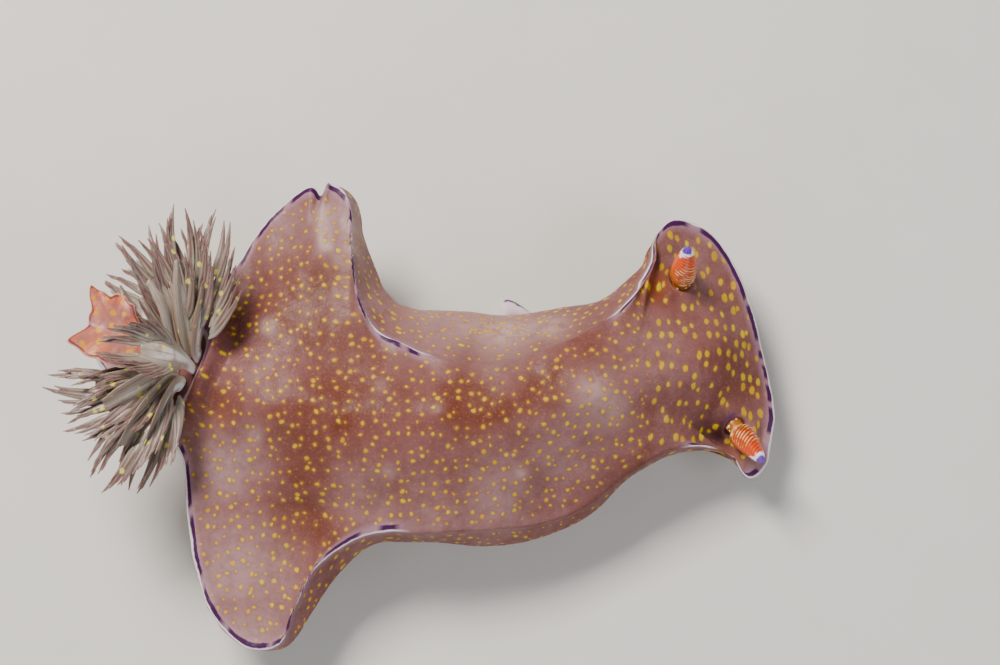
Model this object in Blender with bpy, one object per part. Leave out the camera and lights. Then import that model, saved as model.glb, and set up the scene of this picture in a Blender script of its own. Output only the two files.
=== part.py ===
"""A live nudibranch at rest on a level floor, at its real size.

The animal crawls towards +X on a flat sole and bends a little to its left, which is +Y.
Its soft back spreads into a brim: two corners at the head and two broad side lobes at the
rear. Gills stand in a pocket at the rear of the back, a three-lobed horn rises behind them,
and two rhinophores stand on the head. All sizes below are in millimetres.

Places on the body are given as along, out and height. Along runs on the bent axis of the
body, from the tail to the head. Out is the distance to the animal's left, and is negative
on its right. Height is above the floor.
"""
import math
import random

import bmesh
import bpy
from mathutils import Vector
from mathutils.bvhtree import BVHTree
from mathutils.kdtree import KDTree

MILLIMETRE = 0.001
JOINT_GAP = 0.3

# The middle of the whole animal's box, which becomes the part's origin.
CENTRE_X = -6.01
CENTRE_Y = 2.62

# The bent axis of the body in plan, from rear to front.
AXIS_POINTS = [(-46.0, 11.5), (-22.0, 2.2), (4.0, 1.2), (24.0, 7.2), (50.0, 17.0)]
AXIS_STEPS = 60
AXIS_EXTENSION = 30.0

# One row for each station of the mantle, from the front of the head to the rear. A row has
# the place along the trunk, then for the left and the right edge of the mantle: along, out
# and height of the edge, and how far the skin swells past the edge, and drops, below it.
STATIONS = [
    (47.5, (52.5, -1.2, 11.0, -2.0, 1.8), (52.5, -1.2, 11.0, -2.0, 1.8)),
    (46.5, (53.4, 7.0, 12.0, -2.0, 1.8), (51.8, -7.0, 10.2, -2.0, 1.8)),
    (44.6, (53.0, 14.5, 13.3, -2.0, 1.8), (50.7, -12.0, 10.0, -2.0, 1.8)),
    (42.3, (50.1, 20.3, 15.3, -2.0, 1.8), (48.4, -16.3, 9.6, -2.0, 1.8)),
    (39.8, (45.7, 22.4, 17.2, -1.5, 1.8), (45.6, -20.2, 9.2, -1.5, 1.8)),
    (37.6, (42.3, 20.6, 18.6, 0.5, 2.5), (42.7, -20.8, 9.4, -1.5, 1.8)),
    (35.5, (40.4, 16.6, 20.4, 1.8, 4.5), (41.2, -16.9, 11.6, -1.0, 2.2)),
    (33.0, (36.0, 12.9, 22.0, 3.2, 6.0), (38.0, -14.7, 14.6, 0.0, 3.0)),
    (28.0, (30.0, 9.9, 23.2, 4.0, 6.0), (32.0, -13.1, 17.0, 0.4, 4.0)),
    (20.0, (20.3, 8.1, 24.4, 5.5, 6.0), (24.0, -14.1, 16.8, 0.5, 4.0)),
    (12.0, (9.2, 8.2, 25.0, 7.0, 7.0), (13.0, -17.1, 15.4, 1.6, 3.5)),
    (3.5, (0.5, 9.5, 25.0, 7.5, 7.0), (4.0, -17.1, 18.3, 1.8, 5.0)),
    (-5.0, (-7.5, 11.9, 24.6, 8.0, 8.0), (-5.0, -17.2, 20.0, 1.0, 5.0)),
    (-12.0, (-14.0, 14.6, 24.2, 8.0, 9.0), (-12.0, -17.6, 20.0, 1.2, 5.5)),
    (-17.0, (-18.6, 19.4, 24.0, 7.0, 9.0), (-18.0, -22.7, 19.0, 2.6, 6.0)),
    (-21.5, (-21.9, 25.7, 24.0, 5.5, 8.5), (-20.2, -30.0, 17.6, 2.2, 5.0)),
    (-25.5, (-27.0, 32.5, 24.0, 3.6, 7.0), (-21.2, -36.7, 17.0, 0.9, 3.0)),
    (-29.0, (-32.4, 35.8, 24.0, 1.6, 4.5), (-23.8, -38.2, 16.2, -0.5, 2.0)),
    (-32.0, (-36.9, 35.9, 23.6, 0.0, 2.4), (-27.8, -34.7, 16.0, -2.0, 1.8)),
    (-35.5, (-40.8, 32.6, 22.2, -2.0, 1.8), (-31.7, -27.8, 16.2, -2.0, 1.8)),
    (-39.0, (-43.3, 25.6, 20.8, -2.0, 1.8), (-35.9, -19.5, 17.2, -2.0, 1.8)),
    (-43.0, (-44.6, 17.4, 20.2, -2.0, 1.8), (-40.2, -13.0, 18.3, -2.0, 1.8)),
    (-47.5, (-49.3, 9.8, 20.0, -1.5, 1.8), (-46.8, -10.8, 19.0, -1.5, 1.8)),
    (-50.5, (-53.0, -1.0, 20.5, -1.0, 2.5), (-53.0, -1.0, 20.5, -1.0, 2.5)),
]
LAST_STATION = len(STATIONS) - 1

# Heights of the ridge of the back, and half widths of the trunk and the foot, as pairs of
# place along the body and size. The foot's left margin has one ruffle: place, spread, reach.
SPINE_SHARE = 0.82
SPINE_HEIGHT = [(-52.0, 20.5), (-40.0, 24.0), (-26.0, 27.0), (0.0, 27.5), (18.0, 26.3),
                (30.0, 23.6), (41.0, 20.5)]
GIRTH_HEIGHT = 10.0
GIRTH_HEIGHT_HEAD = 8.0
GIRTH_LEFT = [(-39.0, 12.6), (-20.0, 17.6), (-8.0, 20.8), (3.0, 20.6), (20.0, 16.8), (36.0, 14.0)]
GIRTH_RIGHT = [(-39.0, 11.8), (-20.0, 16.2), (-5.0, 17.4), (7.0, 18.8), (20.0, 13.8), (36.0, 13.2)]
TRUNK_FRONT = 47.5
TRUNK_REAR = -50.5
FRONT_ROUND = 35.5
REAR_ROUND = -39.0
BACK_SPREAD = 13.0
BRIM_ROOT_THICKNESS = 6.0

FOOT_LEFT = [(-41.0, 8.6), (-28.0, 10.4), (-8.0, 12.0), (9.0, 12.6), (24.0, 11.0), (37.0, 9.6)]
FOOT_RIGHT = [(-41.0, 8.6), (-28.0, 10.4), (-8.0, 12.0), (9.0, 13.0), (24.0, 10.6), (37.0, 9.6)]
FOOT_RUFFLE = (16.5, 5.6, 11.0)
FOOT_FRONT = 46.3
TAIL_TIP = (-65.5, 1.5)
FOOT_EDGE_HEIGHT = 1.2
FOOT_TOP_HEIGHT = 2.3
FOOT_NECK_HEIGHT = 3.9
TAIL_RIDGE_HEIGHT = 5.0

# One rib of the body: the spacing of ribs along the edge, how its back and its rolled edge are
# drawn, how the underside of the brim hangs from the back, and where the foot's points lie.
RIB_SPACING = 3.2
EDGE_STEP = 0.25
BACK_POINTS = 6
EDGE_INSET = 1.2
EDGE_INSET_SHARE = 0.3
EDGE_DROP = 0.1
EDGE_ROLL = (0.2, 0.75)
OVERHANG = (1.0, 9.0)
BRIM_ROOT_SHARE = 0.22
BRIM_ROOT_BLEND = 0.45
BRIM_ROOT_CLEAR = 1.0
BRIM_MIDDLE_SHARE = 0.55
BRIM_MIDDLE_THICKNESS = 2.4
BRIM_MIDDLE_LIFT = 2.0
HEAD_TAPER = (25.0, 42.0)
TAIL_TAPER = (20.5, 22.0)
SOLE_MIDDLE = 0.93
NECK_INSET = 1.0
NECK_LEAST = 0.3
FLANK_SHARE = 0.55
FOOT_RIM = 0.7
SOLE_SHARE = 0.55

# Gill pocket: a raised ring round a flat-floored socket that leans back.
POCKET_PLACE = (-44.6, -3.6)
POCKET_RADIUS = 6.6
POCKET_RIM_RADIUS = 9.4
POCKET_RIM_HEIGHT = 2.4
POCKET_DEPTH = 2.6
POCKET_LEAN = math.radians(18.0)
POCKET_SINK = 0.5
POCKET_ROOT = 6.0
POCKET_SIDES = 24

# Gills, round the pocket from the left side over the rear to the right: direction and distance
# of the root from the pocket's middle, along, out and height of the tip, how far the middle
# bows to the left, and how high the shaft stands up before it bends. One leaf starts near the
# middle and bends back over the horn.
GILLS = [
    (60.0, 4.6, (-47.0, 22.8, 30.5), 0.0, 4.0),
    (88.0, 4.6, (-53.5, 21.2, 34.0), 0.0, 4.0),
    (110.0, 4.6, (-56.2, 16.8, 30.5), 1.6, 4.0),
    (132.0, 4.6, (-60.0, 12.0, 34.0), 2.6, 4.0),
    (156.0, 4.6, (-62.0, 6.4, 23.5), 2.8, 4.0),
    (10.0, 1.6, (-53.0, -3.5, 36.5), 0.0, 8.5),
    (210.0, 4.6, (-63.3, -9.6, 25.0), -3.2, 4.0),
    (232.0, 4.6, (-57.4, -16.9, 27.5), -1.0, 4.0),
    (256.0, 4.6, (-49.4, -24.6, 25.0), 0.0, 4.0),
    (282.0, 4.6, (-43.8, -22.6, 22.5), 0.0, 4.0),
]
GILL_SPLAY = 0.1
GILL_ARCH_SHARE = 0.4
GILL_ARCH = 2.6
GILL_SIDES = 6
GILL_SHAFT_WIDTH = [0.7, 0.75, 0.85, 0.95, 0.9, 0.75, 0.6, 0.45, 0.28]
GILL_SHAFT_DEPTH = [0.7, 0.75, 0.8, 0.85, 0.8, 0.7, 0.55, 0.42, 0.25]

# Filaments of one gill: how many, where up the shaft they start, how long they are as a share
# of the whole gill, how far they spread, and their half thickness at root, middle and tip. A
# filament that comes too near another is lifted, narrowed or shortened until it is clear.
FILAMENTS = 10
FILAMENT_FIRST = 0.34
FILAMENT_LAST = 0.84
FILAMENT_SHARE = 0.40
FILAMENT_SPREAD = math.radians(27.0)
FILAMENT_PITCH = math.radians(16.0)
FILAMENT_DOWN = -0.7
FILAMENT_TURN = 0.28
FILAMENT_SHORTENING = 0.45
FILAMENT_SPREAD_RANGE = (0.8, 1.1)
FILAMENT_REACH_RANGE = (0.92, 1.05)
FILAMENT_RADII = [0.46, 0.391, 0.26]
FILAMENT_SIDES = 4
FILAMENT_LIFTS = [math.radians(angle) for angle in (0.0, 14.0, -14.0, 26.0, -26.0)]
FILAMENT_NARROWINGS = (1.0, 0.7, 0.4)
FILAMENT_CUTS = (1.0, 0.8, 0.6)
GILL_SEED = 7

# How finely filaments are tested against one another, and the reach of the test.
SAMPLE_STEP = 0.5
CLEAR_RANGE = 2.6

# Horn behind the gills. Its stalk has along, out, height, half width and half thickness up
# its middle. Its blade is a level star, given by direction in degrees and reach from its
# middle, and it rises to the rear and turns up at its rim.
HORN_STALK = [
    (-52.2, -1.4, 16.0, 3.2, 2.2),
    (-52.8, -1.4, 21.0, 3.0, 2.1),
    (-53.6, -1.3, 26.0, 3.0, 1.9),
    (-54.6, -1.0, 29.4, 3.4, 1.5),
    (-55.6, -0.8, 31.0, 3.6, 0.9),
]
HORN_BLADE_MIDDLE = (-55.2, -0.5, 31.6)
HORN_BLADE_STAR = [(-50.0, 6.4), (-25.0, 4.9), (-8.0, 4.6), (26.0, 3.9), (60.0, 4.9), (84.0, 5.9), (103.0, 5.8),
                   (119.0, 8.1), (136.0, 5.4), (174.0, 4.5), (197.0, 7.3), (233.0, 5.6), (268.0, 5.6)]
HORN_BLADE_RISE = 0.24
HORN_BLADE_CUP = 0.7
HORN_BLADE_THICKNESS = 2.4
HORN_RIM_THICKNESS = 0.9
HORN_CUP_REACH = 7.0
HORN_STALK_SIDES = 12
# Rings of the blade over its top, round its rim and under it: share of the outline and side.
HORN_BLADE_RINGS = [(0.5, 0.5), (0.93, 0.5), (1.0, 0.0), (0.93, -0.5), (0.5, -0.5)]

# Rhinophores: base and tip in along and out, the rise of the tip, and the sizes of the club.
RHINOPHORES = {
    "rhinophore_left": ((43.0, 11.2), (45.2, 15.0), 10.0),
    "rhinophore_right": ((43.2, -12.2), (44.6, -20.2), 5.0),
}
RHINOPHORE_STALK_RADIUS = 1.35
RHINOPHORE_CLUB_RADIUS = 1.95
RHINOPHORE_TIP_RADIUS = 0.455
RHINOPHORE_STALK_RISE = 1.2
RHINOPHORE_CLUB_START = 1.9
RHINOPHORE_CLUB_END = 0.9
RHINOPHORE_CLUB_SHAPE = (0.1, 0.66, 1.6)
RHINOPHORE_TIP_START = 0.97
RHINOPHORE_SIDES = 12
RHINOPHORE_LEAVES = 8
RHINOPHORE_GROOVE = 0.78
RHINOPHORE_LEAF_PITCH = 0.055
RHINOPHORE_SLANT = 0.25
RHINOPHORE_SLANT_RANGE = (2.0, 0.93)
SHEATH_RADIUS = 2.9
SHEATH_WALL = 0.9
SHEATH_HEIGHT = 1.3
SHEATH_DEPTH = 1.2
SHEATH_ROOT = 3.0
SHEATH_SIDES = 14

# Feelers beside the mouth, under the front of the brim: along, out and height up the middle
# of one, with its radius, and the mouth's slit between them.
FEELER_SECTIONS = [(43.5, 4.2, 6.4, 2.0), (46.4, 5.2, 6.2, 1.8), (48.0, 5.8, 6.0, 1.35),
                   (50.0, 6.6, 5.9, 1.15), (51.0, 7.0, 6.0, 0.5)]
FEELER_SIDES = 10
FEELER_CUT = 47.4
FEELER_CUT_REACH = (3.4, 8.2)
FEELER_CUT_TOP = 8.6
MOUTH_PLACE = (46.9, 0.0, 5.6)
MOUTH_SIZE = (1.6, 2.6, 0.45)

# Where the flesh is parted: a height for the foot, places along the body for the head, trunk
# and tail, heights for the tail and horn, and lines in along and out for the two lobes. The
# cutters reach past the body on all sides.
FOOT_CUT_HEIGHT = 3.0
HEAD_CUT = 29.0
TRUNK_CUT = -2.0
TAIL_CUT = -49.0
TAIL_CUT_HEIGHT = 10.5
HORN_CUT_HEIGHT = 23.5
LOBE_LEFT_CUT = [(0.0, 62.0), (-8.5, 19.0), (-30.0, 17.0), (-45.2, 14.6), (-60.0, 26.0)]
LOBE_RIGHT_CUT = [(-4.0, -62.0), (-12.5, -16.2), (-28.0, -15.6), (-41.4, -11.8), (-55.0, -22.0)]
HORN_CUT_ALONG = -49.5
CUTTER_REACH = 60.0
CUTTER_FAR = 75.0
CUTTER_BELOW = -5.0
CUTTER_RISE = 9.0

# Colours of the live animal, and the roughness of wet skin.
WET_ROUGHNESS = 0.32
SKIN = (0.66, 0.33, 0.30)
FOOT_SKIN = (0.72, 0.52, 0.50)
GILL_SKIN = (0.72, 0.66, 0.66)
RHINOPHORE_SKIN = (0.86, 0.30, 0.08)
HORN_SKIN = (0.80, 0.42, 0.30)

# Each node of flesh, with a place inside it and its colour.
FLESH_NODES = {
    "head": ((38.0, 0.0, 12.0), SKIN),
    "trunk_front": ((12.0, 0.0, 15.0), SKIN),
    "trunk_rear": ((-20.0, 0.0, 15.0), SKIN),
    "lobe_left": ((-31.0, 26.0, 20.5), SKIN),
    "lobe_right": ((-25.0, -26.0, 15.6), SKIN),
    "foot": ((0.0, 0.0, 1.2), FOOT_SKIN),
    "tail": ((-54.0, 0.8, 1.5), FOOT_SKIN),
    "horn": ((-54.4, -1.1, 28.6), HORN_SKIN),
    "oral_tentacle_left": ((49.0, 6.2, 6.0), SKIN),
    "oral_tentacle_right": ((49.0, -6.2, 6.0), SKIN),
}


def clear_scene():
    for item in list(bpy.data.objects):
        bpy.data.objects.remove(item, do_unlink=True)


def smooth_step(low, high, value):
    share = min(max((value - low) / (high - low), 0.0), 1.0)
    return share * share * (3.0 - 2.0 * share)


def curve_point(points, place, closed=False):
    """Point on a centripetal curve through points; place counts points from the first."""
    count = len(points)
    if closed:
        place = place % count
        index = int(place)
        four = [points[(index + step) % count] for step in (-1, 0, 1, 2)]
    else:
        index = min(int(place), count - 2)
        first = points[index - 1] if index > 0 else points[0] * 2.0 - points[1]
        last = points[index + 2] if index + 2 < count else points[-1] * 2.0 - points[-2]
        four = [first, points[index], points[index + 1], last]
    knots = [0.0]
    for start, end in zip(four, four[1:]):
        knots.append(knots[-1] + max((end - start).length, 0.01) ** 0.5)
    value = knots[1] + (place - index) * (knots[2] - knots[1])
    level = four
    for spans in (((0, 1), (1, 2), (2, 3)), ((0, 2), (1, 3)), ((1, 2),)):
        shares = [(value - knots[low]) / (knots[high] - knots[low]) for low, high in spans]
        level = [level[i].lerp(level[i + 1], share) for i, share in enumerate(shares)]
    return level[0]


def profile(pairs, place):
    """Size at a place, read from a smooth line through pairs of place and size."""
    place = min(max(place, pairs[0][0]), pairs[-1][0])
    index = 0
    while index < len(pairs) - 2 and place > pairs[index + 1][0]:
        index += 1
    slopes = [(high[1] - low[1]) / (high[0] - low[0]) for low, high in zip(pairs, pairs[1:])]
    ends = [0.0] + [0.5 * (one + two) for one, two in zip(slopes, slopes[1:])] + [0.0]
    span = pairs[index + 1][0] - pairs[index][0]
    t = (place - pairs[index][0]) / span
    return (pairs[index][1] * (2.0 * t ** 3 - 3.0 * t ** 2 + 1.0)
            + pairs[index + 1][1] * (3.0 * t ** 2 - 2.0 * t ** 3)
            + ends[index] * span * (t ** 3 - 2.0 * t ** 2 + t)
            + ends[index + 1] * span * (t ** 3 - t ** 2))


def make_axis():
    """Points on the bent axis of the body, with their distance along it."""
    points = [Vector(p) for p in AXIS_POINTS]
    line = []
    for i in range(len(points) - 1):
        before = points[i - 1] if i > 0 else points[0] * 2.0 - points[1]
        after = points[i + 2] if i + 2 < len(points) else points[-1] * 2.0 - points[-2]
        start, end = points[i], points[i + 1]
        for step in range(AXIS_STEPS):
            t = step / AXIS_STEPS
            line.append(0.5 * (2.0 * start + (end - before) * t
                               + (2.0 * before - 5.0 * start + 4.0 * end - after) * t ** 2
                               + (3.0 * start - before - 3.0 * end + after) * t ** 3))
    line.append(points[-1])
    line.insert(0, line[0] + (line[0] - line[1]).normalized() * AXIS_EXTENSION)
    line.append(line[-1] + (line[-1] - line[-2]).normalized() * AXIS_EXTENSION)
    lengths = [0.0]
    for start, end in zip(line, line[1:]):
        lengths.append(lengths[-1] + (end - start).length)
    middle = min(range(len(line)), key=lambda i: abs(line[i].x))
    return line, [length - lengths[middle] for length in lengths]


AXIS_LINE, AXIS_LENGTHS = make_axis()


def axis_frame(along):
    """Point on the axis and the direction to the head there."""
    index = 0
    while index < len(AXIS_LINE) - 2 and AXIS_LENGTHS[index + 1] < along:
        index += 1
    start, end = AXIS_LINE[index], AXIS_LINE[index + 1]
    ahead = (end - start).normalized()
    return start + ahead * (along - AXIS_LENGTHS[index]), ahead


def place(along, out, height):
    """Point in the part's frame, in millimetres, for a place on the body."""
    point, ahead = axis_frame(along)
    return Vector((point.x - ahead.y * out - CENTRE_X, point.y + ahead.x * out - CENTRE_Y, height))


def plan(along, out):
    return place(along, out, 0.0).xy


def station_value(column, station):
    low = min(int(station), LAST_STATION - 1)
    return STATIONS[low][column] + (STATIONS[low + 1][column] - STATIONS[low][column]) * (station - low)


def edge_loop():
    """The mantle's edge and its swell as closed lists, down the left side and up the right."""
    left = [row[1] for row in STATIONS]
    right = [row[2] for row in STATIONS[1:-1]]
    rows = left + right[::-1]
    edge = [Vector(row[:3]) for row in rows]
    swell = [Vector((row[3], row[4], 0.0)) for row in rows]
    return edge, swell


EDGE_LOOP, SWELL_LOOP = edge_loop()


def trunk_outline(station, side, front, rear, left, right):
    """Along and out of the trunk's or foot's outline at a station, round at both ends."""
    along = station_value(0, station)
    widths = left if side > 0 else right
    if along > FRONT_ROUND:
        turn = math.acos(min((along - FRONT_ROUND) / (TRUNK_FRONT - FRONT_ROUND), 1.0))
        width = profile(widths, FRONT_ROUND) * math.sin(turn)
        return FRONT_ROUND + (front - FRONT_ROUND) * math.cos(turn), side * width
    if along < REAR_ROUND:
        turn = math.acos(min((REAR_ROUND - along) / (REAR_ROUND - TRUNK_REAR), 1.0))
        width = profile(widths, REAR_ROUND) * math.sin(turn)
        return REAR_ROUND + (rear[0] - REAR_ROUND) * math.cos(turn), side * width + rear[1] * math.cos(turn)
    return along, side * profile(widths, along)


def rib(station, side):
    """Points of one rib, from the ridge of the back over the edge and down to the sole."""
    loop_place = station if side > 0 else 2 * LAST_STATION - station
    edge = curve_point(EDGE_LOOP, loop_place, closed=True)
    swell = curve_point(SWELL_LOOP, loop_place, closed=True)
    ahead = curve_point(EDGE_LOOP, loop_place - EDGE_STEP, closed=True)
    behind = curve_point(EDGE_LOOP, loop_place + EDGE_STEP, closed=True)
    run = (behind - ahead).xy.normalized()
    outward = Vector((run.y, -run.x, 0.0))
    trunk_along = station_value(0, station)
    spine_along = SPINE_SHARE * trunk_along
    spine = Vector((spine_along, 0.0, profile(SPINE_HEIGHT, spine_along)))
    girth_along, girth_out = trunk_outline(
        station, side, TRUNK_FRONT, (TRUNK_REAR, 0.0), GIRTH_LEFT, GIRTH_RIGHT)
    head_share = smooth_step(*HEAD_TAPER, girth_along)
    girth_height = GIRTH_HEIGHT + (GIRTH_HEIGHT_HEAD - GIRTH_HEIGHT) * head_share
    girth = Vector((girth_along, girth_out, girth_height))
    foot_along, foot_out = trunk_outline(station, side, FOOT_FRONT, TAIL_TIP, FOOT_LEFT, FOOT_RIGHT)
    if side > 0:
        foot_out += FOOT_RUFFLE[2] * math.exp(-((foot_along - FOOT_RUFFLE[0]) / FOOT_RUFFLE[1]) ** 2)
    foot = Vector((foot_along, foot_out, 0.0))

    reach = (edge - spine).xy.length
    end_share = math.exp(-(reach / BACK_SPREAD) ** 2)

    def back(share):
        point = spine.lerp(edge, share)
        near = math.exp(-(reach * share / BACK_SPREAD) ** 2)
        point.z = edge.z + (spine.z - edge.z) * (near - end_share) / (1.0 - end_share)
        return point

    inner = min(EDGE_INSET / reach, EDGE_INSET_SHARE)
    points = [spine] + [back((1.0 - inner) * i / BACK_POINTS) for i in range(1, BACK_POINTS + 1)]
    points.append(edge + Vector((0.0, 0.0, -EDGE_DROP)))
    points.append(edge + outward * EDGE_ROLL[0] + Vector((0.0, 0.0, -EDGE_ROLL[1])))
    crest = edge + outward * swell.x + Vector((0.0, 0.0, -swell.y))
    overhang = smooth_step(*OVERHANG, (crest - spine).xy.length - (girth - spine).xy.length)
    root = girth.lerp(crest, BRIM_ROOT_SHARE)
    root_share = min((root - spine).xy.length / reach, 1.0)
    hung = back(root_share).z - BRIM_ROOT_THICKNESS
    bare = girth.z + BRIM_ROOT_BLEND * (crest.z - girth.z)
    root.z = (1.0 - overhang) * bare + overhang * max(hung, girth.z + BRIM_ROOT_CLEAR)
    middle = root.lerp(crest, BRIM_MIDDLE_SHARE)
    middle_share = min((middle - spine).xy.length / reach, 1.0)
    thin = back(middle_share).z - BRIM_MIDDLE_THICKNESS
    middle.z = (1.0 - overhang) * middle.z + overhang * min(thin, middle.z + BRIM_MIDDLE_LIFT)
    points += [crest, middle, root, girth]

    tail_share = smooth_step(*TAIL_TAPER, station)
    centre = Vector((foot_along * SOLE_MIDDLE, TAIL_TIP[1] * tail_share, 0.0))
    room = min((foot - centre).length, (girth.xy.to_3d() - centre).length)
    neck = centre + (foot - centre).normalized() * max(room - NECK_INSET, NECK_LEAST)
    neck.z = FOOT_NECK_HEIGHT
    ridge = girth.lerp(foot, 0.5)
    ridge.z = TAIL_RIDGE_HEIGHT
    neck = neck.lerp(ridge, tail_share)
    rim = (foot - centre).normalized() * FOOT_RIM
    points += [girth.lerp(neck, FLANK_SHARE), neck]
    points.append(foot - rim + Vector((0.0, 0.0, FOOT_TOP_HEIGHT)))
    points.append(foot + Vector((0.0, 0.0, FOOT_EDGE_HEIGHT)))
    points += [foot - rim, foot.lerp(centre, SOLE_SHARE), centre]
    return [place(*point) for point in points]


def rib_stations(spacing):
    """Stations of the ribs, so that the edge's points lie about one spacing apart."""
    stations = []
    for i in range(LAST_STATION):
        spans = [(Vector(STATIONS[i + 1][side][:3]) - Vector(STATIONS[i][side][:3])).length for side in (1, 2)]
        steps = max(1, round(max(spans) / spacing))
        stations += [i + step / steps for step in range(steps)]
    return stations + [float(LAST_STATION)]


def body_mesh(spacing):
    """The whole flesh of the body but for the horn, the pocket and the feelers."""
    bm = bmesh.new()
    stations = rib_stations(spacing)
    left = [rib(station, 1) for station in stations]
    right = [rib(station, -1) for station in stations]
    tops = [bm.verts.new(points[0]) for points in left]
    soles = [bm.verts.new(points[-1]) for points in left]
    left_rows = [[bm.verts.new(p) for p in points[1:-1]] for points in left]
    right_rows = [[bm.verts.new(p) for p in points[1:-1]] for points in right[1:-1]]
    right_rows = [left_rows[0]] + right_rows + [left_rows[-1]]
    for rows in (left_rows, right_rows):
        for i in range(len(rows) - 1):
            one = [tops[i]] + rows[i] + [soles[i]]
            two = [tops[i + 1]] + rows[i + 1] + [soles[i + 1]]
            for j in range(len(one) - 1):
                bm.faces.new((one[j], two[j], two[j + 1], one[j + 1]))
    bmesh.ops.recalc_face_normals(bm, faces=bm.faces)
    return bm


def new_object(name, bm, colour=None, roughness=0.4):
    """An object made of a mesh in millimetres, with its own material where it has a colour."""
    mesh = bpy.data.meshes.new(name)
    bmesh.ops.scale(bm, vec=(MILLIMETRE,) * 3, verts=bm.verts)
    bmesh.ops.triangulate(bm, faces=bm.faces)
    bm.to_mesh(mesh)
    bm.free()
    mesh.shade_smooth()
    item = bpy.data.objects.new(name, mesh)
    bpy.context.scene.collection.objects.link(item)
    if colour:
        finish(item, colour, roughness)
    return item


def finish(item, colour, roughness=0.4):
    material = bpy.data.materials.new(item.name + "_skin")
    material.use_nodes = True
    shader = material.node_tree.nodes["Principled BSDF"]
    shader.inputs["Base Color"].default_value = (*colour, 1.0)
    shader.inputs["Roughness"].default_value = roughness
    shader.inputs["Metallic"].default_value = 0.0
    item.data.materials.clear()
    item.data.materials.append(material)


def boolean(item, others, operation):
    """Joins, cuts or keeps item with the other closed objects, which are then removed."""
    group = bpy.data.collections.new("others")
    bpy.context.scene.collection.children.link(group)
    for other in others:
        group.objects.link(other)
    modifier = item.modifiers.new("shape", "BOOLEAN")
    modifier.operation = operation
    modifier.operand_type = "COLLECTION"
    modifier.collection = group
    modifier.solver = "MANIFOLD"
    bpy.context.view_layer.update()
    shaped = item.evaluated_get(bpy.context.evaluated_depsgraph_get())
    mesh = bpy.data.meshes.new_from_object(shaped)
    item.modifiers.clear()
    item.data = mesh
    for other in others:
        bpy.data.objects.remove(other, do_unlink=True)
    bpy.data.collections.remove(group)
    return item


def shells(bm):
    """The closed surfaces of a mesh, each as a list of faces, the largest first."""
    bm.faces.ensure_lookup_table()
    seen = set()
    found = []
    for face in bm.faces:
        if face in seen:
            continue
        seen.add(face)
        stack = [face]
        part = []
        while stack:
            current = stack.pop()
            part.append(current)
            for edge in current.edges:
                for near in edge.link_faces:
                    if near not in seen:
                        seen.add(near)
                        stack.append(near)
        found.append(part)
    return sorted(found, key=lambda part: -sum(face.calc_area() for face in part))


def keep_largest(item):
    """Drops all but the largest closed surface, and welds what the union left doubled."""
    bm = bmesh.new()
    bm.from_mesh(item.data)
    bmesh.ops.triangulate(bm, faces=bm.faces)
    parts = shells(bm)
    loose = [face for part in parts[1:] for face in part]
    bmesh.ops.delete(bm, geom=loose, context="FACES")
    bm.to_mesh(item.data)
    bm.free()
    return item


def ring_frames(points):
    """Direction and two side directions at each point of a line, turned as little as can be."""
    frames = []
    side = None
    for i, point in enumerate(points):
        ahead = (points[min(i + 1, len(points) - 1)] - points[max(i - 1, 0)]).normalized()
        if side is None:
            side = ahead.cross(Vector((0.0, 0.0, 1.0)))
            if side.length < 0.2:
                side = ahead.cross(Vector((1.0, 0.0, 0.0)))
        side = (side - ahead * side.dot(ahead)).normalized()
        frames.append((point, side, ahead.cross(side)))
    return frames


def tube(points, widths, heights, sides):
    """A closed tube along points, with a half width and a half height at each."""
    bm = bmesh.new()
    rings = []
    for (point, side, up), width, height in zip(ring_frames(points), widths, heights):
        ring = []
        for i in range(sides):
            turn = 2.0 * math.pi * i / sides
            ring.append(bm.verts.new(point + side * width * math.cos(turn) + up * height * math.sin(turn)))
        rings.append(ring)
    bm.faces.new(rings[0])
    bm.faces.new(rings[-1][::-1])
    for low, high in zip(rings, rings[1:]):
        for i in range(sides):
            after = (i + 1) % sides
            bm.faces.new((low[i], high[i], high[after], low[after]))
    bmesh.ops.recalc_face_normals(bm, faces=bm.faces)
    return bm


def bend(points, count):
    """Evenly placed points on a smooth curve through a few points."""
    steps = [i * (len(points) - 1) / (count - 1) for i in range(count)]
    return [curve_point(points, step) for step in steps]


def turned(profile_points, base, lean, sides, slant=0.0):
    """A closed turned body round an axis from base along lean, its rings slanted by a rise."""
    bm = bmesh.new()
    turn_to = lean.to_track_quat("Z", "Y")
    rings = []
    for radius, height in profile_points:
        if radius < 0.01:
            rings.append([bm.verts.new(base + turn_to @ Vector((0.0, 0.0, height)))])
            continue
        ring = []
        slant_from, slant_to = RHINOPHORE_SLANT_RANGE
        rise = slant if slant_from < height < profile_points[-1][1] * slant_to else 0.0
        for i in range(sides):
            turn = 2.0 * math.pi * i / sides
            tilt = rise * radius * math.cos(turn)
            ring.append(bm.verts.new(base + turn_to @ Vector((
                radius * math.cos(turn), radius * math.sin(turn), height + tilt))))
        rings.append(ring)
    for low, high in zip(rings, rings[1:]):
        for i in range(sides):
            after = (i + 1) % sides
            corners = [low[i % len(low)], low[after % len(low)], high[after % len(high)], high[i % len(high)]]
            unique = []
            for corner in corners:
                if corner not in unique:
                    unique.append(corner)
            bm.faces.new(unique)
    bmesh.ops.recalc_face_normals(bm, faces=bm.faces)
    return bm


def surface_height(tree, point):
    """Height of the back, in millimetres, straight above or below a point."""
    hit = tree.ray_cast(Vector((point.x, point.y, 100.0)) * MILLIMETRE, Vector((0.0, 0.0, -1.0)))
    return hit[0].z / MILLIMETRE


def horn_stalk():
    points = [place(*row[:3]) for row in HORN_STALK]
    return tube(points, [row[3] for row in HORN_STALK], [row[4] for row in HORN_STALK], HORN_STALK_SIDES)


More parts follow.
